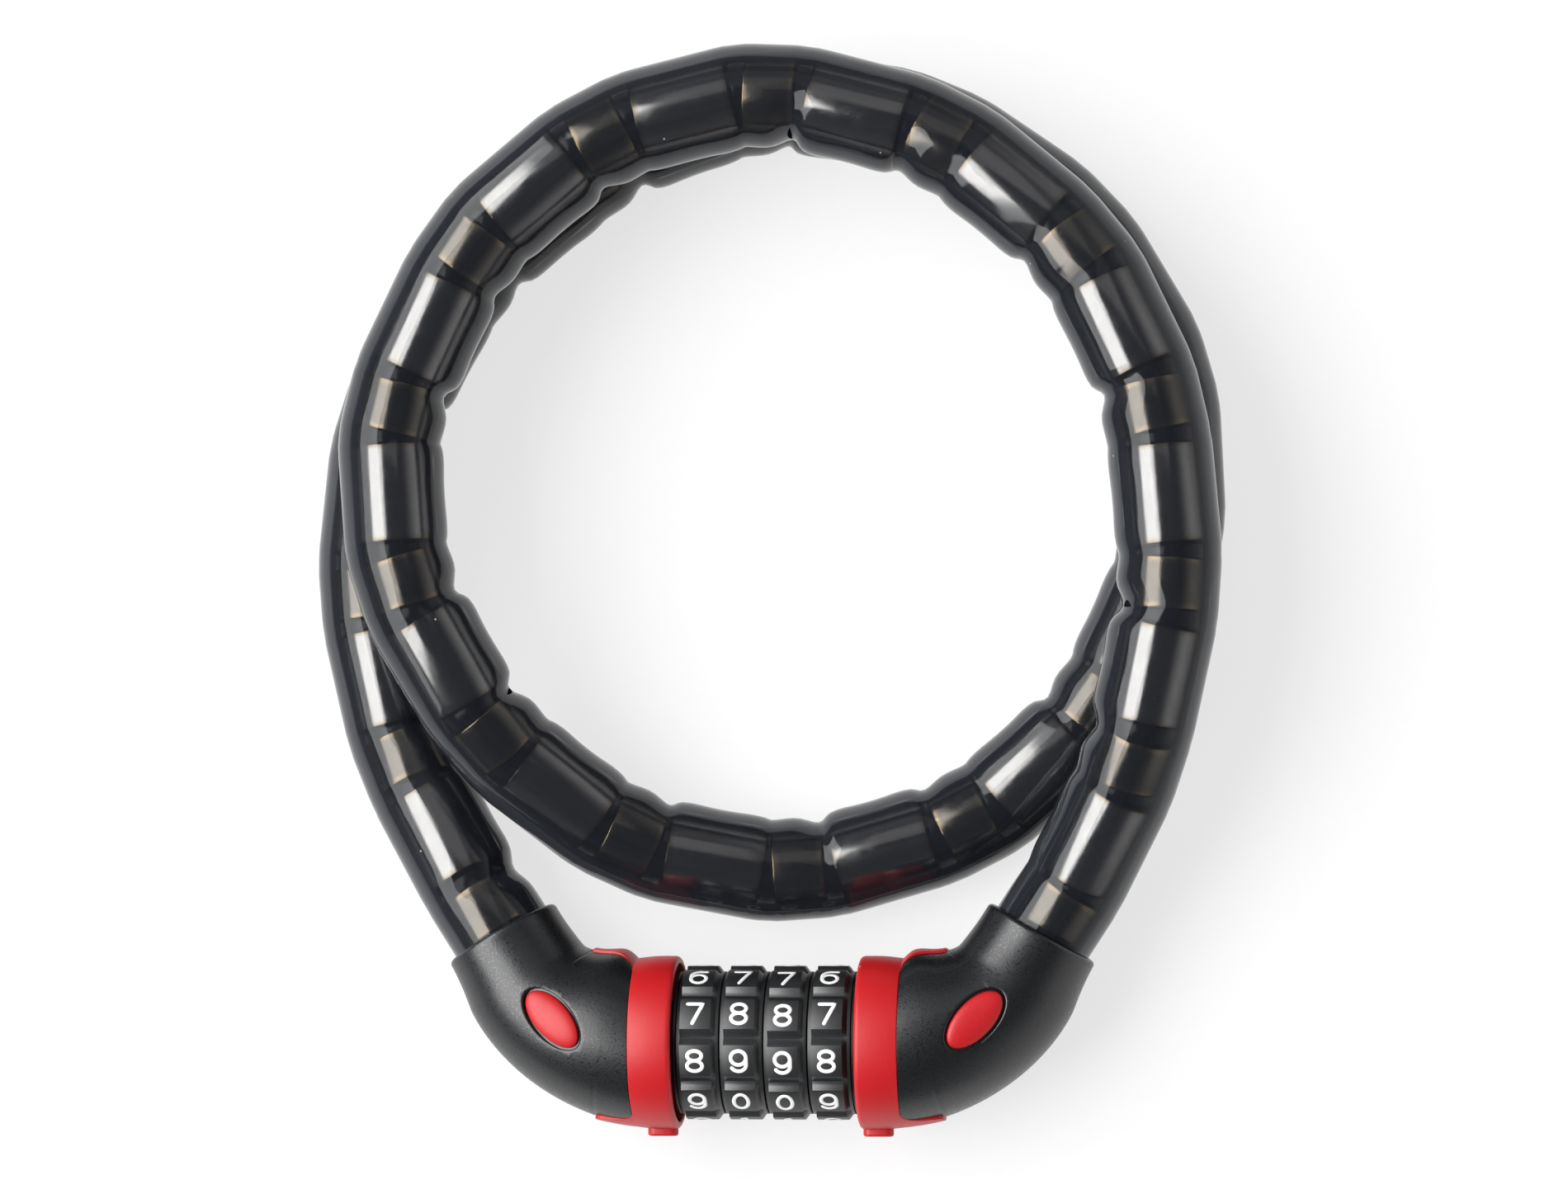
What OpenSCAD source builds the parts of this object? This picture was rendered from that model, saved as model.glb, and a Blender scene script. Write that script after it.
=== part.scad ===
// Armoured cable lock with four number dials, lying flat in two loops.
// +Z is up, the surface it lies on is z = 0, and the origin is the centre of the cable's loop.
// The head lies along X: the dial half is on -X and the plug half, which pulls out, is on +X.

/* [Head] */
// Distance of the head's axis from the loop's centre
head_y = 99.5; // [97:0.5:101]
// Diameter of the red collars, which the head rests on
collar_d = 30.7; // [30.2:0.1:32]
// Length of each collar along the head
collar_w = 7.7; // [7:0.1:9]
// Wall of the collar's rim around the dials' end plate
collar_rim = 1.3; // [1:0.1:1.6]
// Space between the outer dials and the collars, which the end plates share
collar_gap = 0.6; // [0.55:0.05:0.9]
// Length of the index rib on each collar
rib_l = 5.4; // [4:0.1:6]
// Width of the index rib
rib_w = 3; // [2:0.1:4]
// Height of the index rib above the collar
rib_h = 1.2; // [1:0.1:2]

/* [Elbow housings] */
// Diameter of the housing where it meets the collar
shell_d = 29.9; // [29.6:0.1:30.2]
// Diameter of the housing's mouth, around the cable
mouth_d = 21.4; // [20.4:0.1:22]
// Radius of the elbow's bend
bend_r = 23; // [22.5:0.5:24]
// Angle that the elbow turns through
bend_turn = 60; // [58:1:62]
// How far the housing lies towards the inner side of the bend
bend_bow = 1.4; // [0:0.1:1.6]
// Depth of the straight socket that holds the cable's end
socket_l = 9.2; // [8.5:0.1:10]
// Wall of the housing
shell_wall = 2.2; // [1.8:0.1:2.4]
// Bevel around the mouth
mouth_bevel = 0.8; // [0.4:0.1:1]
// Length of the collar's tongue on the inner side of the bend
tongue_in_l = 20; // [18:0.5:21]
// Length of the collar's tongue on the outer side of the bend
tongue_out_l = 4.5; // [4:0.1:5]
// Angle that half a tongue covers at its root
tongue_root_a = 26; // [20:1:30]
// Angle that half a tongue covers at its tip
tongue_tip_a = 14; // [10:1:18]
// Height of a tongue's tip above the housing
tongue_proud = 0.6; // [0.3:0.1:1]

/* [Oval inlays] */
// Length of the oval
oval_l = 12.6; // [12:0.1:13]
// Width of the oval
oval_w = 6.4; // [5.8:0.1:7]
// Place of the oval along the bend, in degrees
oval_at = 36; // [34:1:40]
// Offset of the oval towards the outside of the bend
oval_out = 1.3; // [1:0.1:2]
// Tilt of the oval's length from the head's axis
oval_tilt = 46; // [40:1:50]
// Depth of the oval's seat
oval_deep = 1.2; // [0.8:0.1:1.4]
// Gap around the oval
oval_gap = 0.4; // [0.2:0.1:0.6]
// Radius of the oval's crown
oval_crown_r = 24; // [18:1:30]

/* [Number dials] */
// Diameter over the raised number pads
dial_d = 27.2; // [26.8:0.1:27.6]
// Distance from one dial to the next
dial_pitch = 7.75; // [7.7:0.01:7.8]
// Gap between neighbouring dials
dial_gap = 0.1; // [0.05:0.01:0.2]
// Length of a number pad along the head's axis
pad_l = 5.4; // [5:0.1:5.6]
// Height of the pads above the dial's ring
pad_h = 1; // [0.7:0.1:1.2]
// Plain ring to the left of the pads
pad_margin = 0.8; // [0.6:0.1:1]
// Bevel on the right of the pads
pad_bevel = 0.75; // [0.5:0.05:0.9]
// Angle that the pads are turned towards the loop
pad_turn = 4.9; // [0:0.1:6]
// Width of the groove between two pads
groove_w = 2.6; // [2:0.1:3.2]
// Radius of the dial's bore, which holds the gate ring
dial_bore_r = 10; // [9.8:0.1:10.5]
// Diameter of the setting notches in the dial's bore
notch_d = 1.8; // [1.4:0.1:2]

/* [Barrel and bolt] */
// Outer radius of the barrel that the dials turn on
barrel_r = 6.5; // [6.3:0.1:6.8]
// Radius of the steel bolt
bolt_r = 4; // [3.8:0.1:4.2]
// Height of the bolt's fins above its axis
fin_h = 7.9; // [7.7:0.1:8]
// Thickness of a fin across the bolt
fin_w = 2.4; // [2:0.1:2.6]
// Length of a fin along the bolt
fin_l = 2.4; // [2:0.1:2.5]
// Length of the land in each gate ring, which stops a fin
land_l = 4.4; // [4.2:0.1:4.5]
// Thickness of the end plates on both sides of the dials
plate_t = 0.45; // [0.3:0.05:0.5]
// Radius of the end plates
plate_r = 12.6; // [12:0.1:12.9]

/* [Cable] */
// Outer diameter of the vinyl jacket
cable_d = 18.4; // [18:0.1:18.6]
// Wall of the jacket
jacket_wall = 1.8; // [1.6:0.1:1.9]
// Outer diameter of the steel sleeves
sleeve_d = 14; // [13.6:0.1:14.2]
// Wall of the long sleeves
sleeve_wall = 1.1; // [0.9:0.1:1.3]
// Length of a short sleeve, between the centres of its two ball ends
short_l = 11.4; // [11:0.1:12]
// Diameter of the wire rope
rope_d = 6; // [5:0.1:6.4]
// Length of the crimped ferrule inside the jacket
ferrule_l = 8.2; // [7.5:0.1:9]

/* [Anchors] */
// Radius of the anchor bar in each elbow
anchor_r = 6.5; // [6.2:0.1:7]
// Radius of the ferrule's stub
stub_r = 3.5; // [3.2:0.1:3.8]
// Length of the ferrule's stub
stub_l = 8; // [7:0.5:9]
// Diameter of the pin through anchor and stub
pin_d = 2.5; // [2:0.1:3]

/* [Clearances] */
// Gap between pieces that are seated on each other
seat_gap = 0.05; // [0.03:0.01:0.1]
// Radial clearance where something turns or slides
run_gap = 0.07; // [0.04:0.01:0.1]
// Gap between the jacket and the housing's socket
socket_gap = 0.2; // [0.15:0.01:0.25]
// Gap between a fin and its groove or gate
gate_gap = 0.25; // [0.2:0.05:0.3]

/* [Hidden] */
$fn = 64;

black = "#1d1f22";
red = "#d02028";
steel = "#8d9094";
smoke = [0.25, 0.25, 0.27, 0.45];

// ---- Head: derived sizes ----
head_z = collar_d / 2;
dials = 4;
digits = 10;
dial_w = dial_pitch - dial_gap;
dials_l = dials * dial_pitch;
collar_space = dials_l + 2 * collar_gap;
elbow_x = collar_space / 2 + collar_w;
arc_l = bend_r * bend_turn * PI / 180;
elbow_l = arc_l + socket_l;
socket_r = cable_d / 2 + socket_gap;
spigot_l = 1.6;
spigot_r = shell_d / 2 - shell_wall - seat_gap - spigot_l * spigot_l / bend_r - bow(spigot_l);
spigot_wall = 2;
collar_bore_r = barrel_r + 1;
collar_round = 0.8;
rib_in = 0.4;
out_rings = 9;
in_rings = 9;
ring_steps = 20;

function dial_x(n) = (n - (dials + 1) / 2) * dial_pitch;
function mix(a, b, t) = a + (b - a) * t;
function unit(v) = v / norm(v);

// Centre line of the right elbow: an arc, then the straight socket.
function bend_angle(s) = min(s, arc_l) / bend_r * 180 / PI;
function along(s) = let (a = bend_angle(s)) [cos(a), sin(a), 0];
function outward(s) = let (a = bend_angle(s)) [sin(a), -cos(a), 0];
function elbow_at(s) = let (a = bend_angle(s))
    [elbow_x + bend_r * sin(a), -head_y + bend_r * (1 - cos(a)), head_z]
    + max(s - arc_l, 0) * along(s);

// The housing narrows along an S-curve, and its mouth is bevelled.
// It lies towards the inner side of the bend, most of all a third of the way along it.
function bow(s) = let (t = max(0, min(s / arc_l, 1))) bend_bow * 5.38 * t * pow(1 - t, 1.5);
function taper_r(s) = mix(shell_d, mouth_d, (1 - cos(180 * pow(s / elbow_l, 1.1))) / 2) / 2;
function outer_r(s) = taper_r(s) - max(0, mouth_bevel - (elbow_l - s));
function inner_r(s) = max(taper_r(s) - shell_wall, socket_r);
function ring_point(s, r, a) = elbow_at(s) - bow(s) * outward(s) + r * (cos(a) * outward(s) + sin(a) * [0, 0, 1]);

// Stations along the elbow, closer together at the tongues' tips and at the mouth.
function stations() = concat(
    [for (k = [0:3]) tongue_out_l * k / 3],
    [for (k = [0:out_rings]) mix(tongue_out_l + 0.25, tongue_in_l, k / out_rings)],
    [for (k = [0:in_rings]) mix(tongue_in_l + 0.25, elbow_l - mouth_bevel, k / in_rings)],
    [elbow_l]);
// Half the angle that a tongue covers: the outer one narrows evenly, the inner one early on.
function tongue_l(side) = side == 0 ? tongue_out_l : tongue_in_l;
function tongue_a(side, s) =
    mix(tongue_root_a, tongue_tip_a, pow(s / tongue_l(side), side == 0 ? 1 : 0.6));
function edge_a(side, s) = s <= tongue_l(side) ? tongue_a(side, s) + 0.4 : 0.15;

// A curved plate of changing radius: for each station, a row of outer points and a row of inner ones.
module curved_plate(stops, a_from, a_to, r_outer, r_inner, steps) {
    row = steps + 1;
    count = len(stops);
    points = [for (i = [0:count - 1], side = [0, 1], j = [0:steps])
        ring_point(stops[i], side == 0 ? r_outer[i] : r_inner[i], mix(a_from[i], a_to[i], j / steps))];
    function at(i, side, j) = (i * 2 + side) * row + j;
    outside = [for (i = [0:count - 2], j = [0:steps - 1])
        [at(i, 0, j), at(i, 0, j + 1), at(i + 1, 0, j + 1), at(i + 1, 0, j)]];
    inside = [for (i = [0:count - 2], j = [0:steps - 1])
        [at(i, 1, j), at(i + 1, 1, j), at(i + 1, 1, j + 1), at(i, 1, j + 1)]];
    edges = [for (i = [0:count - 2]) each [
        [at(i, 0, 0), at(i + 1, 0, 0), at(i + 1, 1, 0), at(i, 1, 0)],
        [at(i, 0, steps), at(i, 1, steps), at(i + 1, 1, steps), at(i + 1, 0, steps)]]];
    ends = [for (j = [0:steps - 1]) each [
        [at(0, 0, j), at(0, 1, j), at(0, 1, j + 1), at(0, 0, j + 1)],
        [at(count - 1, 0, j), at(count - 1, 0, j + 1), at(count - 1, 1, j + 1), at(count - 1, 1, j)]]];
    polyhedron(points, concat(outside, inside, edges, ends), convexity = 6);
}

// Frame on the housing's face at the oval, with Z along the surface's normal.
module at_oval() {
    s = oval_at * PI / 180 * bend_r;
    r = taper_r(s);
    slope = (taper_r(s - 1) - taper_r(s + 1)) / 2;
    lean = asin(oval_out / r);
    normal = unit(sin(lean) * outward(s) + cos(lean) * [0, 0, 1] + slope * along(s));
    place = elbow_at(s) + (oval_out - bow(s)) * outward(s) + r * cos(lean) * [0, 0, 1];
    translate(place)
        rotate([0, acos(normal[2]), atan2(normal[1], normal[0])])
            rotate(oval_tilt - atan2(normal[1], normal[0]))
                children();
}

module oval_prism(grow, deep, high) {
    translate([0, 0, -deep])
        linear_extrude(deep + high)
            scale([oval_l / 2 + grow, oval_w / 2 + grow])
                circle(1, $fn = 48);
}

module shell_front() {
    stops = stations();
    difference() {
        curved_plate(stops, [for (s = stops) edge_a(0, s)], [for (s = stops) 180 - edge_a(180, s)],
            [for (s = stops) outer_r(s)], [for (s = stops) inner_r(s)], ring_steps);
        at_oval() oval_prism(oval_gap, oval_deep, 4);
    }
}

module shell_back() {
    stops = stations();
    curved_plate(stops, [for (s = stops) edge_a(180, s) - 180], [for (s = stops) -edge_a(0, s)],
        [for (s = stops) outer_r(s)], [for (s = stops) inner_r(s)], ring_steps);
}

oval_high = 0.35;
module oval() {
    at_oval() intersection() {
        oval_prism(0, oval_deep - seat_gap, 1);
        translate([0, 0, oval_high - oval_crown_r]) sphere(oval_crown_r, $fn = 200);
    }
}

tongue_sunk = 0.6;
// One tongue of the collar, on the outer side of the bend (0) or the inner side (180).
module tongue(side) {
    steps = side == 0 ? 5 : 12;
    long = tongue_l(side);
    stops = concat([-tongue_sunk], [for (k = [0:steps]) long * k / steps]);
    half = [for (s = stops) tongue_a(side, max(s, 0))];
    curved_plate(stops, [for (a = half) side - a], [for (a = half) side + a],
        [for (s = stops) outer_r(max(s, 0)) + tongue_proud * pow(max(s, 0) / long, side == 0 ? 1 : 0.7)],
        [for (s = stops) inner_r(max(s, 0))], 8);
}

module collar() {
    face_x = collar_space / 2;
    r = collar_d / 2;
    union() {
        translate([0, -head_y, head_z]) rotate([0, 90, 0]) {
            rotate_extrude($fn = 96) difference() {
                union() {
                    polygon([
                        [collar_bore_r, face_x + mouth_deep], [r - collar_rim, face_x + mouth_deep],
                        [r - collar_rim, face_x], [r - collar_round, face_x], [r, face_x + collar_round],
                        [r, face_x + collar_w / 2], [shell_d / 2, elbow_x - seat_gap],
                        [collar_bore_r, elbow_x - seat_gap]]);
                    translate([spigot_r - spigot_wall, elbow_x - past]) square([spigot_wall, spigot_l + past]);
                }
                translate([0, elbow_x - spigot_l]) square([spigot_r - spigot_wall, 2 * spigot_l]);
            }
            // The index rib, on the side away from the loop.
            translate([0, -r - rib_h, face_x + rib_in]) hull() {
                for (z = [rib_w / 2, rib_l - rib_w / 2])
                    translate([0, 0, z]) rotate([-90, 0, 0]) cylinder(d = rib_w, h = rib_h + past, $fn = 32);
            }
        }
        tongue(0);
        tongue(180);
    }
}

// ---- Dials and gates ----
module dial(n) {
    low_r = dial_d / 2 - pad_h;
    x0 = dial_x(n) - dial_w / 2;
    pad_x = x0 + pad_margin;
    translate([0, -head_y, head_z]) rotate([0, 90, 0]) difference() {
        union() {
            translate([0, 0, x0]) cylinder(r = low_r, h = dial_w);
            difference() {
                rotate_extrude($fn = 96) polygon([
                    [low_r - 0.5, pad_x], [dial_d / 2, pad_x], [dial_d / 2, pad_x + pad_l],
                    [low_r, pad_x + pad_l + pad_bevel], [low_r - 0.5, pad_x + pad_l + pad_bevel]]);
                for (k = [0:digits - 1]) rotate(180 + k * 360 / digits - pad_turn)
                    translate([low_r - 0.1, -groove_w / 2, x0]) cube([2 * pad_h, groove_w, dial_w]);
            }
        }
        translate([0, 0, x0 - 1]) cylinder(r = dial_bore_r, h = dial_w + 2);
        for (k = [0:digits - 1]) rotate(k * 360 / digits)
            translate([dial_bore_r, 0, x0 - 1]) cylinder(d = notch_d, h = dial_w + 2, $fn = 24);
    }
}

module gate_ring(n) {
    x0 = dial_x(n) - dial_w / 2;
    ring_r = dial_bore_r - seat_gap;
    translate([0, -head_y, head_z]) rotate([0, 90, 0]) difference() {
        union() {
            translate([0, 0, x0]) cylinder(r = ring_r, h = dial_w);
            for (a = [90, 270]) rotate(a - 90 + 36)
                translate([ring_r - 0.05, 0, x0 + 0.5]) cylinder(d = notch_d - 0.3, h = dial_w - 1, $fn = 24);
        }
        translate([0, 0, x0 - 1]) cylinder(r = barrel_r + run_gap, h = dial_w + 2);
        translate([0, 0, x0 - 1]) cylinder(r = fin_h + gate_gap, h = dial_w - land_l + 1);
        // The gate, which lets a fin out when it lines up with the barrel's slot.
        translate([-fin_h - gate_gap, -fin_w / 2 - gate_gap, x0 - 1])
            cube([fin_h, fin_w + 2 * gate_gap, dial_w + 2]);
    }
}

// ---- Barrel, cap and bolt ----
// The bolt's bore and its slot start this far inside the barrel's closed end.
slot_start = 0.3;
tip_gap = 0.3;
tip_cone = 1.2;
// How far a cut runs past the face that it opens.
past = 1;
// The end plates sit in the collars' mouths, and the bolt's foot in the collar's bore.
mouth_deep = 3;

module barrel() {
    x0 = -dials_l / 2;
    x1 = dials_l / 2 + plate_t + collar_gap - seat_gap;
    base_x = -elbow_x + seat_gap;
    translate([0, -head_y, head_z]) rotate([0, 90, 0]) difference() {
        union() {
            translate([0, 0, x0]) cylinder(r = barrel_r, h = x1 - x0);
            translate([0, 0, x0 - plate_t]) cylinder(r = plate_r, h = plate_t);
            translate([0, 0, base_x]) cylinder(r = collar_bore_r - seat_gap, h = x0 - base_x);
        }
        translate([0, 0, x0 + slot_start]) cylinder(r = bolt_r + run_gap, h = x1 - x0);
        translate([-fin_h - past, -fin_w / 2 - gate_gap, x0 + slot_start])
            cube([fin_h + past, fin_w + 2 * gate_gap, x1 - x0]);
    }
}

module barrel_cap() {
    x1 = dials_l / 2;
    translate([0, -head_y, head_z]) rotate([0, 90, 0]) difference() {
        translate([0, 0, x1 + seat_gap]) cylinder(r = plate_r, h = plate_t);
        translate([0, 0, x1 - past]) cylinder(r = barrel_r + seat_gap, h = plate_t + 2 * past);
        translate([-fin_h - gate_gap, -fin_w / 2 - gate_gap, x1 - past])
            cube([fin_h, fin_w + 2 * gate_gap, plate_t + 2 * past]);
    }
}

module bolt() {
    tip_x = -dials_l / 2 + slot_start + tip_gap;
    foot_x = collar_space / 2 + mouth_deep / 2;
    translate([0, -head_y, head_z]) rotate([0, 90, 0]) union() {
        translate([0, 0, tip_x + tip_cone]) cylinder(r = bolt_r, h = foot_x - tip_x);
        translate([0, 0, tip_x]) cylinder(r1 = bolt_r - tip_cone, r2 = bolt_r, h = tip_cone);
        translate([0, 0, foot_x]) cylinder(r = collar_bore_r - seat_gap, h = elbow_x - seat_gap - foot_x);
        for (n = [1:dials])
            translate([-fin_h, -fin_w / 2, dial_x(n) - dial_w / 2 + (dial_w - land_l - fin_l) / 2])
                cube([fin_h, fin_w, fin_l]);
    }
}

// ---- Anchors, ferrules and pins in the elbows ----
spigot_bar_l = 2.5;
module anchor() {
    difference() {
        union() {
            translate([elbow_x, -head_y + bend_r, head_z]) rotate(-90)
                rotate_extrude(angle = bend_turn) translate([bend_r, 0]) circle(anchor_r);
            translate([elbow_x + seat_gap, -head_y, head_z]) rotate([0, 90, 0]) cylinder(r = spigot_r - 2.5, h = spigot_bar_l);
        }
        in_socket(-stub_l - 1) cylinder(r = stub_r + seat_gap, h = stub_l + 2);
        pin_hole(0);
    }
}

// Frame on the socket's axis, with Z along the cable, at a distance past the bend's end.
module in_socket(s) {
    translate(elbow_at(arc_l) + s * along(arc_l)) rotate([0, 90, bend_turn]) children();
}

module pin_hole(grow) {
    translate(elbow_at(arc_l) - stub_l / 2 * along(arc_l) - [0, 0, anchor_r])
        cylinder(d = pin_d + grow, h = 2 * anchor_r, $fn = 32);
}

// A stub for the pin, a crimp around the rope, and a cup for the first sleeve's ball.
module ferrule() {
    cup_end = ferrule_l - joint_room;
    cup_start = ferrule_l - ball_l - tilt_room;
    difference() {
        in_socket(0) rotate_extrude() polygon([
            [0, -stub_l], [stub_r, -stub_l], [stub_r, seat_gap], [sleeve_d / 2, seat_gap],
            [sleeve_d / 2, cup_end - sleeve_lip], [sleeve_d / 2 - sleeve_lip, cup_end],
            [sleeve_d / 2 - sleeve_wall, cup_end], [sleeve_d / 2 - sleeve_wall, cup_start],
            [rope_d / 2 + seat_gap, cup_start], [rope_d / 2 + seat_gap, 0], [0, 0]]);
        pin_hole(2 * seat_gap);
    }
}

module anchor_pin() {
    pin_hole(-2 * seat_gap);
}

// ---- Cable ----
// The cable's way by hand: out of the left mouth, round the lower loop on the surface,
// up over its own start at the left, round the upper loop and down into the right mouth.
low = cable_d / 2;
high = low + cable_d + 0.1;
LOWER = [
    [-58, -65, 14], [-68, -45, 10], [-73, -24.5, low + 0.1], [-73.5, -2.5, low], [-68, 18.5, low],
    [-56.5, 38, low], [-40.5, 53, low], [-21.5, 64.5, low], [0, 69.5, low], [21.5, 66.5, low],
    [41, 57, low], [57, 42.5, low], [68, 23.5, low], [72, 1.5, low], [68.5, -20, low],
    [58.5, -39, low], [43, -55, low], [23, -65, low], [1, -69, low + 0.5]];
UPPER = [
    [-20, -65.5, 13], [-39.5, -54.5, 18.5], [-55, -36.5, 25], [-64.5, -16, high], [-67, 6, high],
    [-60.5, 27, high], [-48, 46.5, high], [-30.5, 60, high], [-9.5, 67.5, high], [12.5, 66.5, high],
    [33.5, 58.5, high], [51.5, 44, high], [64, 26, high], [70, 5, high], [71.5, -17, high],
    [68, -39, 27], [59.5, -62.5, 19.7]];
function flip(p) = [-p[0], p[1], p[2]];
seat = elbow_at(arc_l);
mouth = elbow_at(elbow_l);
// The first and last points only make the curve leave both mouths along the sockets' axes.
lead = 2 * (socket_l + 10) * along(arc_l);
WAY = concat([LOWER[0] - flip(lead), flip(mouth)], LOWER, UPPER,
    [mouth, UPPER[len(UPPER) - 1] - lead]);

// A smooth curve through the points, in steps small enough to measure along.
substeps = 8;
last = len(WAY) - 1;
function spline(i, t) =
    let (a = WAY[i - 1], b = WAY[i], c = WAY[i + 1], d = WAY[i + 2])
    0.5 * (2 * b + (c - a) * t + (2 * a - 5 * b + 4 * c - d) * t * t + (3 * b - a - 3 * c + d) * t * t * t);
track = concat([flip(seat)], [for (i = [1:last - 2], k = [0:substeps - 1]) spline(i, k / substeps)],
    [mouth, seat]);
steps_l = [for (i = [1:len(track) - 1]) norm(track[i] - track[i - 1])];
run_l = [for (i = 0, s = 0; i < len(track); s = s + (i < len(steps_l) ? steps_l[i] : 0), i = i + 1) s];
cable_l = run_l[len(run_l) - 1];
tables = [for (axis = [0:2]) [for (i = [0:len(track) - 1]) [run_l[i], track[i][axis]]]];
function cable_at(s) = [for (axis = [0:2]) lookup(s, tables[axis])];

// Joints of the armour: short sleeves with ball ends alternate with long plain ones, whose
// ends stop short of the joint's centre. The balls reach as far past it on both sides.
joint_room = 1;
ball_r = sleeve_d / 2 - sleeve_wall - 0.15;
ball_l = 3.2;
tilt_room = 0.9;
rope_room = 0.7;
sleeve_lip = 0.5;
short_count = 27;
long_count = short_count - 1;
long_l = (cable_l - 2 * ferrule_l - short_count * short_l) / long_count;
pair_l = short_l + long_l;
function joint_s(k) = ferrule_l + floor(k / 2) * pair_l + (k % 2) * short_l;
joint_count = 2 * short_count;
joints = [for (k = [0:joint_count - 1]) cable_at(joint_s(k))];
chain = concat([cable_at(0)], joints, [cable_at(cable_l)]);
links = len(chain) - 1;
function link_dir(i) = unit(chain[i + 1] - chain[i]);
function ring_dir(i) = i == 0 ? link_dir(0) : i == links ? link_dir(links - 1)
    : unit(link_dir(i - 1) + link_dir(i));

// A tube that turns at every joint of the armour; it is solid when its inner radius is 0.
module tube(r_out, r_in, sides) {
    rows = r_in > 0 ? 2 : 1;
    count = links + 1;
    points = [for (i = [0:links], side = [0:rows - 1], k = [0:sides - 1])
        let (t = ring_dir(i), u = unit(cross([0, 0, 1], t)), v = cross(t, u), a = k * 360 / sides - 90,
            r = side == 0 ? r_out : r_in)
        chain[i] + r * (cos(a) * u + sin(a) * v)];
    function at(i, side, k) = (i * rows + side) * sides + k % sides;
    skin = [for (i = [0:count - 2], k = [0:sides - 1])
        [at(i, 0, k), at(i + 1, 0, k), at(i + 1, 0, k + 1), at(i, 0, k + 1)]];
    bore = [for (i = [0:count - 2], k = [0:sides - 1])
        [at(i, 1, k), at(i, 1, k + 1), at(i + 1, 1, k + 1), at(i + 1, 1, k)]];
    rims = [for (k = [0:sides - 1]) each [
        [at(0, 0, k), at(0, 0, k + 1), at(0, 1, k + 1), at(0, 1, k)],
        [at(count - 1, 0, k + 1), at(count - 1, 0, k), at(count - 1, 1, k), at(count - 1, 1, k + 1)]]];
    caps = [[for (k = [0:sides - 1]) at(0, 0, k)], [for (k = [sides - 1:-1:0]) at(count - 1, 0, k)]];
    polyhedron(points, rows == 2 ? concat(skin, bore, rims) : concat(skin, caps), convexity = 10);
}

module jacket() {
    tube(cable_d / 2, cable_d / 2 - jacket_wall, 12);
}

module wire_rope() {
    tube(rope_d / 2, 0, 8);
}

// Frame in the middle of a link, with Z along it.
module at_link(i) {
    a = chain[i];
    b = chain[i + 1];
    d = unit(b - a);
    translate((a + b) / 2) rotate([0, acos(d[2]), atan2(d[1], d[0])]) children();
}
function link_l(i) = norm(chain[i + 1] - chain[i]);

module long_sleeve(l) {
    r = sleeve_d / 2;
    rotate_extrude() polygon([
        [r - sleeve_wall, -l / 2], [r - sleeve_lip, -l / 2], [r, -l / 2 + sleeve_lip],
        [r, l / 2 - sleeve_lip], [r - sleeve_lip, l / 2], [r - sleeve_wall, l / 2]]);
}

module short_sleeve(l) {
    band = l - 2 * joint_room;
    r = sleeve_d / 2;
    difference() {
        union() {
            rotate_extrude() polygon([
                [0, -band / 2], [r - sleeve_lip, -band / 2], [r, -band / 2 + sleeve_lip],
                [r, band / 2 - sleeve_lip], [r - sleeve_lip, band / 2], [0, band / 2]]);
            for (side = [-1, 1]) translate([0, 0, side * l / 2]) intersection() {
                sphere(ball_r);
                cube([sleeve_d, sleeve_d, 2 * ball_l], center = true);
            }
        }
        cylinder(d = rope_d + 2 * rope_room, h = 2 * l, center = true);
    }
}

// The armour in four runs: the fourth is the part that gives way when the plug pulls out.
RUN_ENDS = [0, 12, 28, 42, 53];
module long_run(run) {
    for (i = [RUN_ENDS[run - 1] + 1:RUN_ENDS[run]]) if (i % 2 == 0)
        at_link(i) long_sleeve(link_l(i) - 2 * joint_room);
}
module short_run(run) {
    for (i = [RUN_ENDS[run - 1] + 1:RUN_ENDS[run]]) if (i % 2 == 1)
        at_link(i) short_sleeve(link_l(i));
}

color(black) mirror([1, 0, 0]) shell_front();  // left_shell_front
color(black) mirror([1, 0, 0]) shell_back();  // left_shell_back
color(red) mirror([1, 0, 0]) collar();  // left_collar
color(red) mirror([1, 0, 0]) oval();  // left_oval
color(black) shell_front();  // right_shell_front
color(black) shell_back();  // right_shell_back
color(red) collar();  // right_collar
color(red) oval();  // right_oval
color(black) barrel();
color(black) barrel_cap();
color(steel) bolt();
color(black) dial(1);  // number_dial_1
color(black) dial(2);  // number_dial_2
color(black) dial(3);  // number_dial_3
color(black) dial(4);  // number_dial_4
color(steel) gate_ring(1);  // gate_ring_1
color(steel) gate_ring(2);  // gate_ring_2
color(steel) gate_ring(3);  // gate_ring_3
color(steel) gate_ring(4);  // gate_ring_4
color(steel) mirror([1, 0, 0]) anchor();  // left_anchor
color(steel) mirror([1, 0, 0]) ferrule();  // left_ferrule
color(steel) mirror([1, 0, 0]) anchor_pin();  // left_pin
color(steel) anchor();  // right_anchor
color(steel) ferrule();  // right_ferrule
color(steel) anchor_pin();  // right_pin
color(smoke) jacket();
color(steel) wire_rope();
color(steel) long_run(1);  // long_sleeves_1
color(steel) long_run(2);  // long_sleeves_2
color(steel) long_run(3);  // long_sleeves_3
color(steel) long_run(4);  // long_sleeves_4
color(steel) short_run(1);  // short_sleeves_1
color(steel) short_run(2);  // short_sleeves_2
color(steel) short_run(3);  // short_sleeves_3
color(steel) short_run(4);  // short_sleeves_4
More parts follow.
